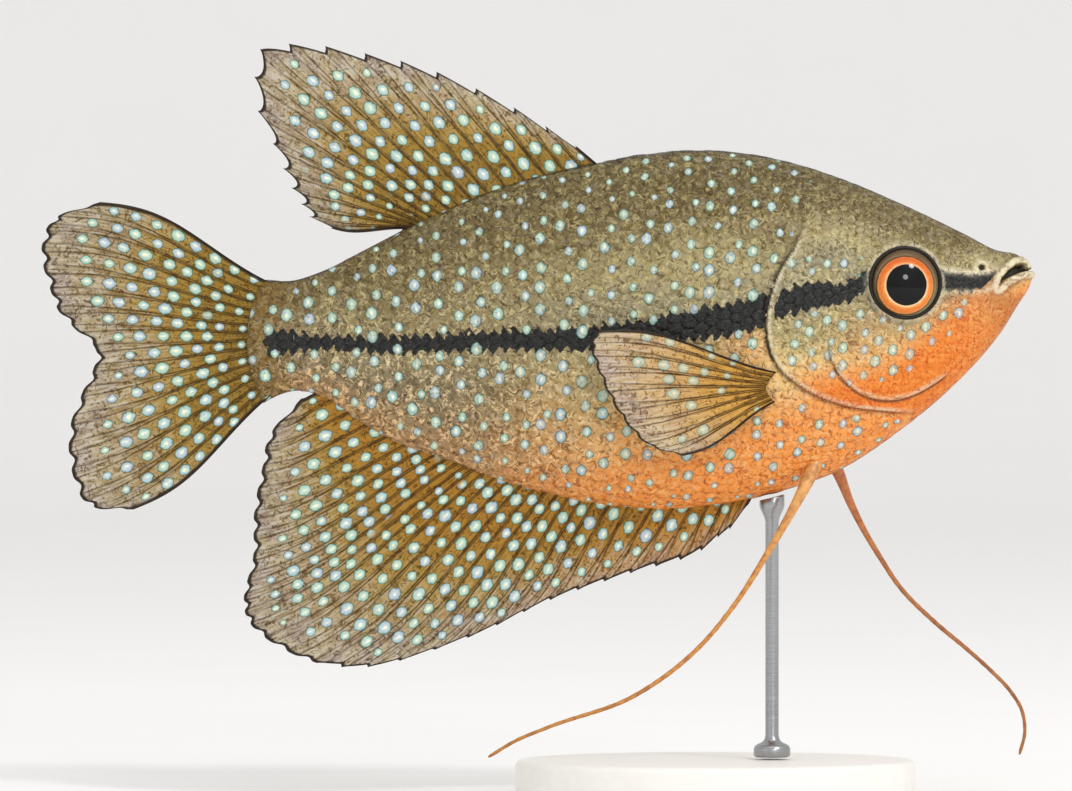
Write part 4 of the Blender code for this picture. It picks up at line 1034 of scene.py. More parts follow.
# %% Glass and rim
def glass_eye():
    """Iris painted behind glass: a black pupil, a gold ring, orange with fine fibres, a dark
    outer ring, and a hard clear coat that gives the eye its one sharp gleam."""
    material, add, _ = new_material("painted_glass_eye")
    forward, up, _ = add("parts", add("Attribute", out="Vector", attribute_name="iris"))
    radius = add("length", add("CombineXYZ", forward, up))
    turn = add("arctan2", up, forward)
    fibre = add("noise", add("CombineXYZ", turn, radius), 5.0, 3.0)
    wavy = add("subtract", fibre, 0.5)
    wavy = add("multiply_add", wavy, 0.12, radius)
    span = add("MapRange", wavy, 2.0, 4.4, 0.0, 1.0)
    rings = add("ramp", span, stops=((0.0, "#040303"), (0.18, "#040303"), (0.2, "#f9e3b4"),
                                     (0.26, "#f7c07c"), (0.33, "#ee9346"), (0.47, "#e88232"),
                                     (0.56, "#e6984e"), (0.6, "#2e2014"), (0.66, "#8a8462"),
                                     (0.8, "#6e6950"), (1.0, "#5a5642")))
    redder = add("MapRange", up, -1.0, 3.2, 0.0, 0.6)
    upper = add("tint", 1.0, rings, "#d98a68")
    colour = add("mix", redder, rings, upper)
    streak = add("MapRange", fibre, 0.35, 0.7, 0.0, 0.35)
    bright = add("tint", 1.0, colour, "#c98a5a")
    colour = add("mix", streak, colour, bright)
    height = add("multiply", fibre, 0.004)
    finish_material(add, colour, 0.35, height, Specular_IOR_Level=0.04, Coat_Weight=0.45,
                    Coat_Roughness=0.02)
    return material


def rim_skin():
    """Nearly black varnished skin: a soft sheen without a colour of its own."""
    material, add, spot = new_material("dark_varnished_rim")
    grain = add("noise", spot, 1 / 0.3, 2.0)
    colour = add("mix", grain, "#100d0b", "#2d2620")
    height = add("multiply", grain, 0.03)
    finish_material(add, colour, 0.4, height, Specular_IOR_Level=0.15, Coat_Weight=0.1,
                    Coat_Roughness=0.2)
    return material


glass = glass_eye()
dark_rim = rim_skin()
for word, side in (("right", -1), ("left", 1)):
    eye(word, side).data.materials.append(glass)
    eye_rim(word, side).data.materials.append(dark_rim)

# %% [markdown]
# ## Fins
#
# A fin is a membrane held by rays that fan out from its root. The measured tips of a few rays
# fix the outline; the rest lie between them. A flat plate with painted rays would show its
# trick from the side, so both faces are fine grids over ray number and share of the way, and
# the rays stand out as ridges that fork in the outer half. The margin draws in behind each
# tip, and the whole fin sways a little from side to side.

# %% The surface of a fin
FIN_HALF = 0.17             # half the thickness of the membrane
FIN_SUNK = 1.4              # the root starts this far inside the body
NOTCH_SHARE = 0.3
BOW_SKEW = 1.6
FLESH_SHARE = 0.25
RAY_HEIGHT = (0.17, 0.06)   # a ray stands this far out of the membrane, at its root and tip
RAY_WIDTH = 0.13
FORK_START = 0.42           # the rays fork from this share of their length
FORK_OPEN = 0.16            # and each half leaves the middle by this share of the spacing
COLUMNS_A_RAY = 20
FIN_ROWS = 52


def fork(way):
    """How far the two halves of a ray lie from its middle, as a share of the spacing."""
    return FORK_OPEN * soft(way, FORK_START, 1.0)


def fin_grid(rays, rows, root_of, tip_of, bend_of, inset_of):
    """Places of a fin in side view. Each ray runs from its root to its tip, bends by a share
    of its length, and ends before its tip by the margin's inset."""
    steps = np.linspace(0.0, rays - 1, (rays - 1) * COLUMNS_A_RAY + 1)
    share = np.linspace(0.0, 1.0, rows)
    number, way = np.meshgrid(steps, share, indexing="ij")
    root = root_of(number)
    chord = tip_of(number) - root
    length = np.linalg.norm(chord, axis=-1)
    sunk = FIN_SUNK / length
    inset = np.minimum(inset_of(number) / length, NOTCH_SHARE)
    reach = way * (1 - inset + sunk) - sunk
    across = np.stack([-chord[..., 1], chord[..., 0]], -1)
    bow = bend_of(number) * np.sin(math.pi * np.maximum(reach, 0.0) ** BOW_SKEW)
    spots = root + chord * reach[..., None] + across * bow[..., None]
    run = reach * length
    left = (1 - way) * (1 - inset) * length
    return number, way, spots, run, left


# %% Spacing of the rays and shape of the margin
def ray_spacing(number, spots, run):
    """From ray to ray: the distance square to them, |step x direction|, which side it is on,
    and how far places at the same distance from the root lie apart along the rays."""
    across = np.gradient(spots, number[:, 0], axis=0)
    direction = np.gradient(spots, axis=1)
    direction /= np.maximum(np.linalg.norm(direction, axis=-1, keepdims=True), 1e-9)
    turned = direction[..., 0] * across[..., 1] - direction[..., 1] * across[..., 0]
    slant = np.sum(across * direction, axis=-1) - np.gradient(run, number[:, 0], axis=0)
    return np.abs(turned), np.sum(turned) > 0, slant


def notch(number, behind_ray, ahead_of_next):
    """How far the margin draws in: quickly behind a tip, then slowly back to the next."""
    return np.interp(number % 1.0, (0.0, 0.07, 0.2, 0.8, 0.95, 1.0),
                     (0.0, 0.45 * behind_ray, behind_ray, ahead_of_next,
                      0.35 * ahead_of_next, 0.0))


def scallop(number, depth):
    """Round lobes on the rays with narrow notches between them: depth * |sin|^4."""
    return depth * np.abs(np.sin(math.pi * number)) ** 4


def key_tips(table):
    """Tip places by ray number, on the smooth curve through the measured ones."""
    behind = [(number, spot) for number, spot, _ in table]
    above = [(number, spot) for number, _, spot in table]
    return lambda number: np.stack([through(behind, number), through(above, number)], -1)


# %% Both faces of a fin
def fin(name, grid, root_half, side_of, warm):
    """Both faces of a fin, closed round its border, with the numbers that its paint reads."""
    number, way, spots, run, left = grid
    rays = number.max()
    spacing, reversed_grid, slant = ray_spacing(number, spots, run)
    to_ray = (0.5 - np.abs(number % 1.0 - 0.5)) * spacing
    ridge = RAY_HEIGHT[0] + (RAY_HEIGHT[1] - RAY_HEIGHT[0]) * way
    ridge = ridge * hump(to_ray, fork(way) * spacing, RAY_WIDTH)
    ridge = ridge * soft(left, 0.0, 0.8)
    flesh = (root_half - FIN_HALF) * np.clip(1 - way / FLESH_SHARE, 0.0, 1.0) ** 2
    half = FIN_HALF + flesh + ridge - 0.09 * soft(-left, -1.2, 0.0)
    middle = side_of(number, way, spots)
    faces_of = [np.stack([SNOUT_X - spots[..., 0], middle + way_out * half,
                          SNOUT_Z + spots[..., 1]], -1).reshape(-1, 3) for way_out in (-1, 1)]
    columns, rows = number.shape
    count = columns * rows
    sheet = grid_faces(columns, rows)
    border = np.concatenate([np.arange(columns) * rows, (columns - 1) * rows + np.arange(1, rows),
                             np.arange(columns - 2, -1, -1) * rows + rows - 1,
                             np.arange(rows - 2, 0, -1)])
    after = np.roll(border, -1)
    edge = np.stack([border, after, after + count, border + count], 1)
    faces = [sheet, sheet[:, ::-1] + count, edge]
    if reversed_grid:
        faces = [face[:, ::-1] for face in faces]
    piece = new_piece(name, np.concatenate(faces_of), *faces)
    rim = np.minimum(left, np.minimum(number, rays - number) * spacing)
    file_middle = np.minimum(np.floor(number[:, 0]) + 0.5, rays)
    whole = np.interp(file_middle, number[:, 0], (run + left)[:, 0])[:, None] + 0.0 * run
    widening = np.gradient(spacing, axis=1) / np.maximum(np.gradient(run, axis=1), 1e-3)
    # What the paint reads; whole is the length of a file of pearls, from root to margin
    for kept, values in (("ray", (number, way, spacing)), ("run", (run, whole, rim)),
                         ("more", (widening, warm + 0.0 * run, slant))):
        attach(piece, kept, *(np.tile(value.ravel(), 2) for value in values))
    return piece


def sway(number, way, size, waves):
    """A soft wave across the fish that grows towards the tips: size * way^2 * sin."""
    return size * way ** 2 * np.sin(waves * 2 * math.pi * number / number.max())


# %% Dorsal fin
DORSAL_RAYS = 18
DORSAL_SPINES = 9           # the rays after these are soft
DORSAL_ROOTS = ((0, 52.4), (2, 56.3), (4, 61.0), (6, 65.5), (8, 69.1), (9, 70.3), (11, 72.4),
                (14, 74.3), (17, 75.7))
DORSAL_TIPS = ((0, 54.9, 15.3), (2, 62.2, 19.8), (4, 71.5, 24.1), (6, 80.1, 26.3),
               (8, 89.2, 27.4), (9, 92.6, 26.7), (10, 93.3, 23.4), (11, 92.9, 19.3),
               (12, 91.1, 15.4), (14, 88.9, 10.1), (15, 87.8, 8.2), (16, 86.8, 6.7),
               (17, 84.3, 5.3))


def dorsal_root(number):
    """On the line of the back, at the place measured for the ray."""
    behind = through(DORSAL_ROOTS, number)
    return np.stack([behind, measure(BACK, behind)], -1)


def dorsal_inset(number):
    """Hooked teeth on the spines, round scallops on the soft rays."""
    bay = 1.25 * np.abs(np.sin(math.pi * number)) ** 0.7
    return np.where(number > DORSAL_SPINES, bay, notch(number, 1.3, 0.35))


grid = fin_grid(DORSAL_RAYS, FIN_ROWS, dorsal_root, key_tips(DORSAL_TIPS),
                lambda number: -0.06 * soft(number, 14.0, 17.0), dorsal_inset)
dorsal = fin("dorsal_fin_skin", grid, 0.5,
             lambda number, way, spots: sway(number, way, 0.8, 1.2), 0.0)
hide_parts("dorsal_fin")

# %% Anal fin
ANAL_RAYS = 32
ANAL_ROOTS = ((0, 33.7), (3, 37.2), (6, 43.3), (9, 50.9), (12, 55.8), (15, 60.0), (17, 63.2),
              (20, 67.4), (22, 69.4), (24, 72.2), (26, 75.6), (28, 80.2), (30, 84.4), (31, 86.4))
ANAL_TIPS = ((0, 34.1, -28.0), (1, 36.3, -30.9), (2, 37.7, -31.9), (3, 39.7, -33.5),
             (6, 48.2, -36.2), (9, 57.8, -39.4), (12, 67.7, -43.9), (15, 79.7, -47.4),
             (17, 85.8, -46.9), (20, 93.6, -42.5), (22, 94.6, -39.1), (24, 93.5, -34.2),
             (26, 93.4, -29.2), (28, 92.4, -23.6), (30, 90.8, -18.5), (31, 87.7, -15.2))
ANAL_BOW = -0.05
ANAL_BOW_RAY = 15
ANAL_HOOKED = 17            # the tips of the rays before this one are hooked


def anal_root(number):
    """On the line of the belly, at the place measured for the ray."""
    behind = through(ANAL_ROOTS, number)
    return np.stack([behind, measure(BELLY, behind)], -1)


grid = fin_grid(ANAL_RAYS, FIN_ROWS, anal_root, key_tips(ANAL_TIPS),
                lambda number: ANAL_BOW * np.clip(number / ANAL_BOW_RAY, 0.0, 1.0),
                lambda number: np.where(number < ANAL_HOOKED, notch(number, 0.65, 0.3),
                                        scallop(number, 0.5)))
anal = fin("anal_fin_skin", grid, 0.5, lambda number, way, spots: sway(number, way, 0.8, 1.6),
           np.maximum(0.7 * soft(-grid[0], -16.0, 0.0), 0.35 * (1 - soft(grid[1], 0.2, 0.6))))
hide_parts("anal_fin")

# %% Tail fin
CAUDAL_RAYS = 17
CAUDAL_ROWS = 60
CAUDAL_TIPS = ((0, 111.8, 8.4), (1, 116.4, 7.0), (2, 118.2, 5.4), (3, 118.9, 3.0),
               (5, 117.8, -2.3), (6, 116.9, -4.6), (7, 114.9, -6.8), (8, 112.4, -9.2),
               (9, 112.6, -11.6), (10, 113.9, -14.4), (11, 115.2, -17.8), (13, 115.1, -24.2),
               (14, 114.0, -27.1), (15, 112.0, -28.4), (16, 107.8, -28.5))
CAUDAL_START = -0.3
CAUDAL_TOP_IN = -0.1
CAUDAL_LOW_IN = 0.4
CAUDAL_FLESH = 0.9
CAUDAL_BOW = (0.075, -0.065)


def caudal_root(number):
    """On the bulging end of the tail: level rays, start + arc * (1 - (2 level - 1)^2)."""
    level = number / (CAUDAL_RAYS - 1)
    behind = BODY_LENGTH + CAUDAL_START + TAIL_ARC * (1 - (2 * level - 1) ** 2)
    top = float(measure(BACK, BODY_LENGTH)) + CAUDAL_TOP_IN
    low = float(measure(BELLY, BODY_LENGTH)) + CAUDAL_LOW_IN
    return np.stack([behind, top + (low - top) * level], -1)


grid = fin_grid(CAUDAL_RAYS, CAUDAL_ROWS, caudal_root, key_tips(CAUDAL_TIPS),
                lambda number: np.interp(number, (0, CAUDAL_RAYS - 1), CAUDAL_BOW),
                lambda number: scallop(number, 0.6))
caudal_level = 2 * grid[0] / (CAUDAL_RAYS - 1) - 1
caudal = fin("caudal_fin_skin", grid,
             FIN_HALF + CAUDAL_FLESH * np.sqrt(np.maximum(1 - caudal_level ** 2, 0.0)),
             lambda number, way, spots: sway(number, way, 0.9, 1.0), 0.0)
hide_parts("caudal_fin")

# %% Pectoral fins
PECTORAL_RAYS = 10
PECTORAL_ROWS = 48
PECTORAL_ROOT = (32.3, -11.7)
PECTORAL_ROOT_HEIGHT = 4.6
PECTORAL_ROOT_ARC = 1.3
PECTORAL_TIPS = ((0, 52.4, -7.2), (1.5, 53.0, -9.0), (3.5, 51.8, -12.8), (5.5, 49.5, -17.2),
                 (7.5, 46.0, -20.8), (9, 42.1, -22.0))
PECTORAL_BOW = (0.065, -0.07)
PECTORAL_SPREAD = math.radians(9)
PECTORAL_OFF_SKIN = 0.7


def pectoral_root(number):
    """On the rounded rear edge of the fleshy pad: start + arc * sin(pi level)."""
    level = number / (PECTORAL_RAYS - 1)
    behind = PECTORAL_ROOT[0] + PECTORAL_ROOT_ARC * np.sin(math.pi * level)
    return np.stack([behind, PECTORAL_ROOT[1] - PECTORAL_ROOT_HEIGHT * level], -1)


def pectoral_fin(word, side):
    """One fin of the pair: it leaves the skin at its root and spreads by a fixed angle."""
    def side_of(number, way, spots):
        """The skin's side at the root, and further out by distance * tan(spread)."""
        root = pectoral_root(number)
        start = skin_side(root[..., 0], root[..., 1]) + PECTORAL_OFF_SKIN
        run = np.linalg.norm(spots - root, axis=-1)
        return side * (start + run * math.tan(PECTORAL_SPREAD))

    grid = fin_grid(PECTORAL_RAYS, PECTORAL_ROWS, pectoral_root, key_tips(PECTORAL_TIPS),
                    lambda number: np.interp(number, (0, PECTORAL_RAYS - 1), PECTORAL_BOW),
                    lambda number: scallop(number, 0.3))
    piece = fin(f"pectoral_fin_skin_{word}", grid, 0.5, side_of, 0.0)
    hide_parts(f"pectoral_fin_{word}")
    return piece


pectorals = [pectoral_fin(word, side) for word, side in (("right", -1), ("left", 1))]

# %% [markdown]
# ## Paint of the fins
#
# Between two rays the membrane is golden brown near the body and pale towards the margin,
# with fine streaks that run with the rays. The pearls stand in single file between the rays,
# as ovals along them, and the files are staggered. So this paint is not drawn in side view
# but in the fin's own terms: ray number, distance from the root, and distance from the
# margin. A pearl's room is judged at its heart, so that neither a ray nor the margin cuts it.
# The same tree serves all fins, with other colours for the clear pectoral fins.

# %% Lines of the rays
DOT_STEP = 2.7              # from one pearl to the next along a ray
DOT_HALF = (0.71, 0.9)      # half width and half length of a fin's pearl
LINE_HALF = 0.1             # half the width of a ray's dark line


def ray_lines(add, colour, number, way, spacing, uneven, share, fade):
    """Dark pairs of lines on the rays, open where the ridges fork, and a thin one between."""
    to_ray = add("subtract", add("fract", number), 0.5)
    to_ray = add("absolute", to_ray)
    to_ray = add("subtract", 0.5, to_ray)
    to_ray = add("multiply", to_ray, spacing)
    opened = add("MapRange", way, FORK_START, 1.0, 0.0, FORK_OPEN, interpolation_type="SMOOTHSTEP")
    opened = add("multiply", opened, spacing)
    opened = add("add", opened, 0.1)
    to_line = add("subtract", to_ray, opened)
    to_line = add("absolute", to_line)
    to_line = add("multiply_add", uneven, 0.25, to_line)
    line = add("MapRange", to_line, 0.0, LINE_HALF * 1.7, share, 0.0)
    middle = add("multiply_add", uneven, 0.3, to_ray)
    forked = add("MapRange", way, FORK_START, 1.0, 0.0, 0.6 * share)
    middle = add("MapRange", middle, 0.0, LINE_HALF, forked, 0.0)
    line = add("maximum", line, middle)
    fading = add("MapRange", way, 0.6, 1.0, 1.0, 1.0 - fade)
    line = add("multiply", line, fading)
    return add("mix", line, colour, "#33200c")


# %% Pearls on a fin
def fin_dots(add, colour, spot, number, spacing, run, whole, more, uneven, dots):
    """Pearls in single file between the rays, staggered from file to file. Their room is the
    rays' spacing at the heart: spacing - past * widening. The margin is the whole length of the
    file less the heart's distance. The numbers of more are widening, warmth and slant."""
    file = add("floor", number)
    stray = add("TexWhiteNoise", {"W": file}, noise_dimensions="1D")
    centred = add("subtract", add("fract", number), 0.5)
    squared = add("multiply_add", centred, more[2], run)
    count = add("divide", squared, DOT_STEP)
    count = add("multiply_add", file, 0.5, count)
    count = add("multiply_add", stray, 0.3, count)
    cell = {"Vector": add("CombineXYZ", file, add("floor", count))}
    chance = add("parts", add("TexWhiteNoise", cell, out="Color", noise_dimensions="2D"))
    past = add("fract", count)
    past = add("multiply_add", chance[2], -0.2, past)
    past = add("subtract", past, 0.4)
    past = add("multiply", past, DOT_STEP)
    room = add("multiply", past, more[0])
    room = add("subtract", spacing, room)
    to_margin = add("subtract", whole, squared)
    to_margin = add("add", to_margin, past)
    size = add("MapRange", chance[0], 0.0, 1.0, 0.8, 1.08)
    shrink = add("MapRange", to_margin, 0.6, 4.0, 0.58, 1.0)
    size = add("multiply", size, shrink)
    size = add("minimum", size, add("multiply", room, 0.64))
    odd = add("floored_modulo", file, 2.0)
    needed = add("MapRange", odd, 0.0, 1.0, 0.6, 1.15)
    plenty = add("add", needed, 0.15)
    there = add("MapRange", room, needed, plenty, 0.0, 1.0)
    inside = add("MapRange", to_margin, 0.85, 1.25, 0.0, 1.0)
    there = add("multiply", there, inside)
    lucky = add("less_than", chance[1], dots)
    there = add("multiply", there, lucky)
    strength = min(0.25 + dots, 1.0)    # a fin with few pearls has pale ones
    there = add("multiply", there, strength)
    wide = add("multiply", centred, spacing)
    wide = add("divide", wide, DOT_HALF[0])
    wide = add("multiply_add", uneven, 0.3, wide)
    long = add("divide", past, DOT_HALF[1])
    return draw_pearl(add, colour, spot, wide, long, size, chance[1], there)


# %% The whole paint of a fin
def fin_paint(name, root_colour, middle_colour, outer_colour, line_share, fade, dots, rim_width):
    """Streaked membrane, dark rays, pearls, and a dark margin under satin varnish: the eye
    sees warm brown that grows pale outwards, and a gleam on the ridges and the pearls, whose
    cream streaks are a painted highlight."""
    material, add, spot = new_material(name)
    ray, runs, more = (add("parts", add("Attribute", out="Vector", attribute_name=kept))
                       for kept in ("ray", "run", "more"))
    number, way, spacing = ray
    run, whole, rim = runs
    along_ray = add("CombineXYZ", add("multiply", number, 7.0), add("multiply", run, 0.45))
    streak = add("noise", along_ray, 1.0, 3.0, 0.5)
    stroke = curls(add, spot, 0.8)
    uneven = add("subtract", streak, 0.5)
    shifted = add("multiply_add", uneven, 0.5, way)
    colour = add("ramp", shifted, stops=((0.0, root_colour), (0.25, root_colour),
                                         (0.52, middle_colour), (1.0, outer_colour)))
    colour = add("mix", more[1], colour, "#c07a22")
    tinted = add("noise", spot, 0.35, 3.0)
    mauve = add("MapRange", tinted, 0.42, 0.62, 0.0, 0.9)
    mauve = add("multiply", mauve, way)
    colour = add("mix", mauve, colour, add("tint", 1.0, colour, "#dcd4f4"))
    light = add("MapRange", streak, 0.48, 0.68, 0.0, 0.6)
    light = add("multiply", light, add("MapRange", way, 0.35, 0.9, 0.02, 1.0))
    colour = add("mix", light, colour, "#ccc5b8")
    dense = add("MapRange", streak, 0.36, 0.5, 0.75, 0.0)
    dense = add("multiply", dense, add("MapRange", way, 0.1, 0.7, 1.0, 0.3))
    colour = add("mix", dense, colour, add("mix", way, "#5e420c", "#5e4a30"))
    glint = add("MapRange", stroke, 0.7, 0.95, 0.0, 0.3)
    outward = add("MapRange", way, 0.4, 1.0, 0.0, 1.0)
    colour = add("mix", glint, colour, add("mix", outward, "#b4862a", "#d8ceb8"))
    deep = add("MapRange", stroke, 0.05, 0.4, 0.85, 0.0)
    colour = add("mix", deep, colour, add("tint", 1.0, colour, "#8a7a56"))
    colour = ray_lines(add, colour, number, way, spacing, uneven, line_share, fade)
    colour, dome = fin_dots(add, colour, spot, number, spacing, run, whole, more, uneven, dots)
    margin = add("multiply_add", uneven, 0.3, rim)
    margin = add("MapRange", margin, rim_width * 0.75, rim_width * 1.25, 0.95, 0.0)
    colour = add("mix", margin, colour, "#2a211a")
    gloss = add("MapRange", streak, 0.3, 0.7, 0.38, 0.55)
    height = add("multiply_add", streak, 0.08, dome)
    height = add("multiply_add", stroke, 0.03, height)
    finish_material(add, colour, gloss, height, Specular_IOR_Level=0.08, Coat_Weight=0.06,
                    Coat_Roughness=0.25)
    return material


fin_varnish = fin_paint("varnished_fin_paint", "#8a6e2e", "#a08238", "#a99c80",
                        line_share=0.85, fade=0.25, dots=2.0, rim_width=0.44)
clear_fin = fin_paint("pale_varnished_fin", "#d49e48", "#cda15e", "#c4b08c",
                      line_share=0.95, fade=0.5, dots=0.36, rim_width=0.28)
for piece in (dorsal, anal, caudal):
    piece.data.materials.append(fin_varnish)
for piece in pectorals:
    piece.data.materials.append(clear_fin)
print(fin_varnish.name, "has", len(fin_varnish.node_tree.nodes), "nodes")

# %% [markdown]
# ## Feelers
#
# The pelvic fins of this fish are two long threads that it feels its way with. Each is a
# round tube along a smooth curve, thick where it leaves the breast and thin as a hair at its
# end. A curve object with a bevel would do; a grid of rings gives the paint a number that
# runs along the feeler.

# %% Build the feelers
FEELER_RIGHT = ((25.6, -2.0, -21.9), (27.2, -3.5, -25.3), (29.5, -4.3, -29.6),
                (32.0, -5.0, -33.8), (35.8, -5.8, -39.7), (40.5, -6.6, -45.2),
                (48.1, -7.7, -50.7), (57.9, -8.3, -54.2), (62.0, -8.5, -55.9),
                (65.2, -8.6, -57.8))
FEELER_LEFT = ((24.6, 2.0, -21.0), (22.9, 3.4, -24.6), (21.6, 4.2, -27.8), (20.0, 4.6, -31.0),
               (17.9, 5.1, -34.5), (15.7, 5.5, -37.8), (11.0, 6.2, -42.5), (7.4, 6.7, -45.5),
               (4.5, 7.1, -48.1), (2.2, 7.4, -50.5), (0.7, 7.7, -53.0), (0.35, 7.8, -55.5),
               (1.0, 7.8, -58.3))
FEELER_RADII = ((0.0, 0.85), (0.06, 0.8), (0.12, 0.6), (0.2, 0.44), (0.33, 0.32), (0.6, 0.27),
                (1.0, 0.2))
FEELER_SIDES = 16
FEELER_RINGS = 260


def tube(name, path, radii, sides):
    """A closed round tube: circles square to a path, ends drawn in to a point."""
    run = np.gradient(path, axis=0)
    run /= np.linalg.norm(run, axis=1)[:, None]
    level = np.cross(run, (0.0, 1.0, 0.0))
    level /= np.linalg.norm(level, axis=1)[:, None]
    out = np.cross(run, level)
    turn = full_turn(sides)
    ring = (np.cos(turn)[None, :, None] * level[:, None] + np.sin(turn)[None, :, None]
            * out[:, None])
    rings = path[:, None] + ring * radii[:, None, None]
    return closed_rings(name, rings, path[0], path[-1], turned=False)


def feeler(word, route):
    """A tube along the route, round at its end, with faint joints: 1 + 0.05 sin(220 share)."""
    path = along(route, FEELER_RINGS)
    share = np.linspace(0.0, 1.0, len(path))
    radii = through(FEELER_RADII, share) * np.sqrt(np.clip((1.002 - share) / 0.01, 0.0, 1.0))
    radii = radii * (1 + 0.05 * np.sin(share * 220.0) * soft(share, 0.2, 0.4))
    world = np.stack([SNOUT_X - path[:, 0], path[:, 1], SNOUT_Z + path[:, 2]], 1)
    piece = tube(f"feeler_{word}", world, radii, FEELER_SIDES)
    rows = np.append(np.repeat(share, FEELER_SIDES), (0.0, 1.0))
    attach(piece, "share", rows)
    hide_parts(*(f"pelvic_fin_{word}_{third}" for third in ("root", "middle", "tip")))
    return piece


# %% Paint of the feelers
def feeler_paint(name, root_colour, middle_colour, tip_colour):
    """Varnished paint that darkens towards the tip, with brown flecks that break the gleam."""
    material, add, spot = new_material(name)
    share, _, _ = add("parts", add("Attribute", out="Vector", attribute_name="share"))
    grain = add("noise", spot, 1 / 0.8, 4.0)
    colour = add("ramp", share, stops=((0.0, root_colour), (0.3, middle_colour), (1.0, tip_colour)))
    darker = add("tint", 1.0, colour, "#a8754a")
    flecked = add("MapRange", grain, 0.4, 0.65, 0.0, 0.6)
    colour = add("mix", flecked, colour, darker)
    gloss = add("MapRange", grain, 0.3, 0.7, 0.35, 0.5)
    height = add("multiply", grain, 0.04)
    finish_material(add, colour, gloss, height, Coat_Weight=0.25, Coat_Roughness=0.2)
    return material


near_paint = feeler_paint("golden_varnished_feeler", "#e0a763", "#d6923f", "#b5782e")
# The far feeler's paint is a darker copy of the near one's: painted shade on the far side
far_shaded_paint = feeler_paint("shaded_brown_varnished_feeler", "#c9763a", "#b26c33", "#a5682a")
for word, route, paint in (("right", FEELER_RIGHT, near_paint), ("left", FEELER_LEFT, far_shaded_paint)):
    feeler(word, route).data.materials.append(paint)

# %% [markdown]
# ## The stand
#
# The fish swims in the photograph, so the model needs a stand: an oval foot of wood with
# several coats of matt paint, and a steel rod that ends in a small saddle under the belly.
# Both are turned shapes. The solid's foot has few sides, so a finer one takes its place, with
# the same size and a softly rounded edge.

# %% The foot
BASE_HALF = (24.0, 20.0)
BASE_HEIGHT = 4.5
BASE_EDGE = 0.8
ROD_BEHIND = 31.2
ROD_PROFILE = ((0.0, 4.8), (1.95, 4.8), (2.2, 5.0), (2.2, 5.8), (2.05, 6.15), (1.75, 6.35),
               (1.2, 6.6), (0.9, 6.95), (0.8, 7.4))
SADDLE = ((0.8, 2.9), (0.95, 2.3), (1.35, 1.5), (1.5, 1.0), (1.5, 0.0), (1.45, -0.4))
GAP = 0.3                   # air between the saddle and the belly
FOOT_SIDES = 160
ROD_SIDES = 48


def foot():
    """An oval carried up its rounded edge: a corner is a quarter circle of the edge's size."""
    corner = np.linspace(0.0, math.pi / 2, 9)
    drop = BASE_EDGE * (1 - np.cos(corner))
    rise = BASE_EDGE * np.sin(corner)
    low = [(0.3, 0.0), (0.08, 0.08), (0.0, 0.3)]
    profile = low + [(drop_in, BASE_HEIGHT - BASE_EDGE + up) for drop_in, up in zip(drop, rise)]
    profile = np.array(profile)
    turn = full_turn(FOOT_SIDES)
    x = (BASE_HALF[0] - profile[:, :1]) * np.cos(turn)
    y = (BASE_HALF[1] - profile[:, :1]) * np.sin(turn)
    z = profile[:, 1:2] + 0 * turn
    inner = np.stack([0.5 * x[-1], 0.5 * y[-1], z[-1]], -1)
    rings = np.concatenate([np.stack([x, y, z], -1), inner[None]])
    piece = closed_rings("stand_foot", rings, (0, 0, 0), (0, 0, BASE_HEIGHT), turned=False)
    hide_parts("stand_base")
    return piece


# %% The rod
def rod():
    """A turned profile whose top is drawn down to the belly, less the gap."""
    belly = SNOUT_Z + float(measure(BELLY, ROD_BEHIND)) - GAP
    profile = list(ROD_PROFILE) + [(radius, belly - low) for radius, low in SADDLE]
    profile = np.array(profile)
    turn = full_turn(ROD_SIDES)
    x = SNOUT_X - ROD_BEHIND + profile[:, :1] * np.cos(turn)
    y = profile[:, :1] * np.sin(turn)
    z = profile[:, 1:2] + 0 * turn
    under = SNOUT_Z + measure(BELLY, SNOUT_X - x) - GAP
    z = np.where(z > under - 0.02, under, z)
    low, top = ((SNOUT_X - ROD_BEHIND, 0.0, height) for height in (profile[0, 1], belly))
    piece = closed_rings("stand_rod_turned", np.stack([x, y, z], -1), low, top, turned=False)
    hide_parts("stand_rod")
    return piece


# %% Wood and steel
def wood_paint():
    """Off-white matt paint: the grain barely shows through, and the gleam is broad and dull."""
    material, add, spot = new_material("matt_painted_wood")
    stretched = add("Mapping", spot, None, None, (0.06, 0.7, 0.7))
    grain = add("noise", stretched, 1.0, 4.0, 0.5)
    speck = add("noise", spot, 1 / 0.5, 2.0)
    colour = add("mix", grain, "#e9e6df", "#f4f2ed")
    gloss = add("MapRange", speck, 0.3, 0.7, 0.42, 0.55)
    height = add("multiply", grain, 0.05)
    height = add("multiply_add", speck, 0.015, height)
    finish_material(add, colour, gloss, height)
    return material


def brushed_steel():
    """Bare steel brushed round the rod: fine rings that stretch the gleam along it."""
    material, add, spot = new_material("brushed_steel")
    stretched = add("Mapping", spot, None, None, (0.4, 0.4, 9.0))
    brush = add("noise", stretched, 1.0, 3.0)
    colour = add("mix", brush, "#8f9193", "#b4b6b8")
    gloss = add("MapRange", brush, 0.3, 0.7, 0.22, 0.4)
    height = add("multiply", brush, 0.006)
    finish_material(add, colour, gloss, height, Metallic=1.0)
    return material


foot().data.materials.append(wood_paint())
rod().data.materials.append(brushed_steel())

# %% [markdown]
# ## Floor, light and camera
#
# The photograph is lit softly from all sides on a white ground, so the stage is a pale floor
# that curves up behind the model, a wide light overhead, two small bright ones ahead and to
# the right, the lower of them for the gleam in the eye, a weak one on the tail's side, and a
# pale sky. The camera looks level at the fish's right side through a long lens, which keeps
# the picture's flat perspective.

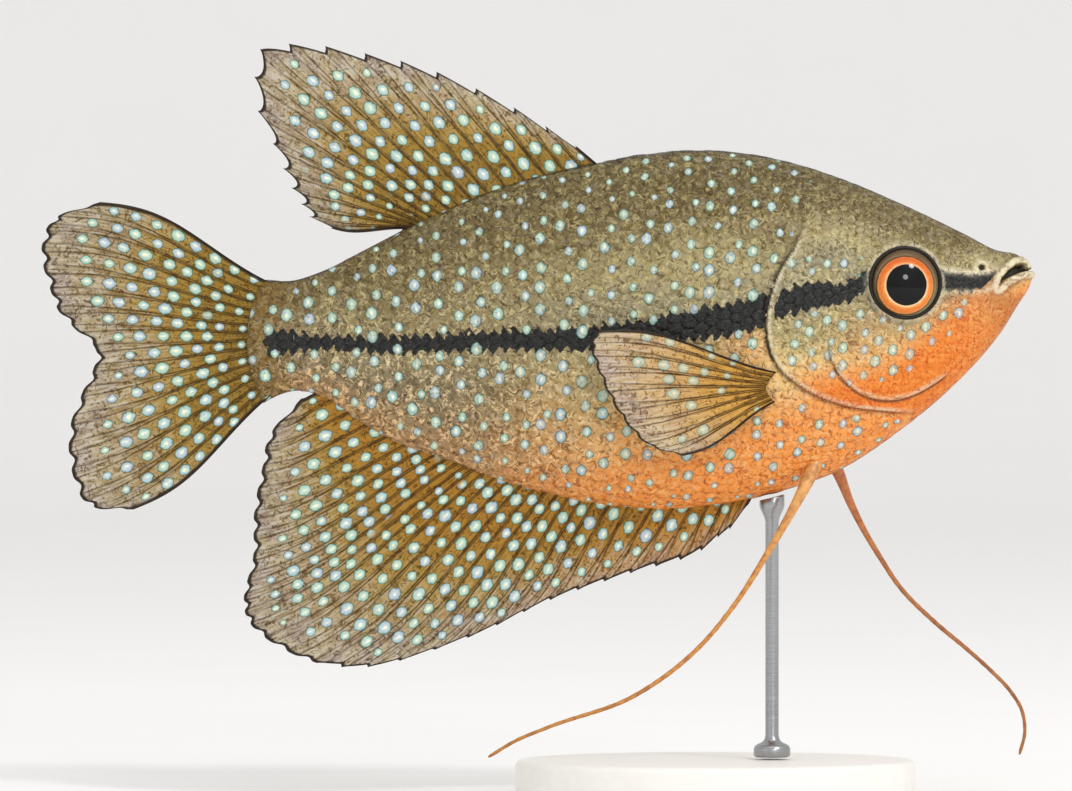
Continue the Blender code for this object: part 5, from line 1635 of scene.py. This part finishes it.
# %% The floor
FLOOR_REACH = 6000.0        # to the front and to each side, in mm
WALL_START = 2000.0
WALL_BEND = 400.0
WALL_HEIGHT = 3000.0
FISH_MIDDLE = (-0.02, 0.0, 0.055)   # in metres, as the lights' distances


def backdrop():
    """A floor that bends up into a wall: straight, quarter circle, straight."""
    turn = np.linspace(0.0, math.pi / 2, 24)
    y = np.concatenate(([-FLOOR_REACH], WALL_START + WALL_BEND * np.sin(turn),
                        [WALL_START + WALL_BEND]))
    z = np.concatenate(([0.0], WALL_BEND * (1 - np.cos(turn)), [WALL_HEIGHT]))
    x = np.array([-FLOOR_REACH, FLOOR_REACH])
    spots = np.stack([np.broadcast_to(x, (len(y), 2)), np.broadcast_to(y[:, None], (len(y), 2)),
                      np.broadcast_to(z[:, None], (len(y), 2))], -1).reshape(-1, 3)
    mesh = bpy.data.meshes.new("studio_floor")
    mesh.from_pydata((spots * MM).tolist(), [], grid_faces(len(y), 2)[:, ::-1].tolist())
    mesh.shade_smooth()
    floor = bpy.data.objects.new("studio_floor", mesh)
    bpy.context.scene.collection.objects.link(floor)
    material, add, spot = new_material("pale_studio_paper")
    tooth = add("noise", spot, 0.02, 2.0)
    colour = add("mix", tooth, "#f8f7f5", "#fbfaf9")
    finish_material(add, colour, 0.8, add("multiply", tooth, 0.01))
    mesh.materials.append(material)


# %% Lights
def light(name, direction, distance, size, power):
    """An area light that looks at the fish's middle from a direction."""
    lamp = bpy.data.lights.new(name, "AREA")
    lamp.shape = "DISK"
    lamp.size = size
    lamp.energy = power
    holder = bpy.data.objects.new(name, lamp)
    bpy.context.scene.collection.objects.link(holder)
    way = np.array(direction, float)
    way /= np.linalg.norm(way)
    holder.location = FISH_MIDDLE + way * distance
    holder.rotation_euler = Vector(-way).to_track_quat("-Z", "Y").to_euler()


backdrop()
light("key", (0.47, -0.60, 0.64), 1.3, 0.22, 4.2)
light("glint", (0.31, -0.90, 0.32), 1.3, 0.22, 1.9)
light("overhead", (0.1, -0.35, 1.0), 1.3, 1.4, 2.0)
light("fill", (-0.8, -0.8, 0.25), 1.6, 1.2, 0.8)
world = bpy.data.worlds.new("pale_sky")
world.use_nodes = True
world.node_tree.nodes["Background"].inputs["Color"].default_value = linear("#ffffff")
world.node_tree.nodes["Background"].inputs["Strength"].default_value = 0.8
bpy.context.scene.world = world
bpy.context.scene.view_settings.view_transform = "Standard"

# %% Camera
LENS = 250.0
SENSOR = 36.0
FRAME_WIDTH = 0.12864       # width of the picture at the fish's middle plane, in metres
camera_data = bpy.data.cameras.new("camera")
camera_data.lens = LENS
camera_data.sensor_width = SENSOR
camera = bpy.data.objects.new("camera", camera_data)
camera.location = (-0.02152, -LENS * FRAME_WIDTH / SENSOR, 0.04818)
camera.rotation_euler = (math.pi / 2, 0.0, 0.0)
bpy.context.scene.collection.objects.link(camera)
bpy.context.scene.camera = camera
camera_data.clip_start = 0.05
camera_data.clip_end = 20.0
print(f"camera {-camera.location.y:.3f} m away, lens {LENS:.0f} mm")
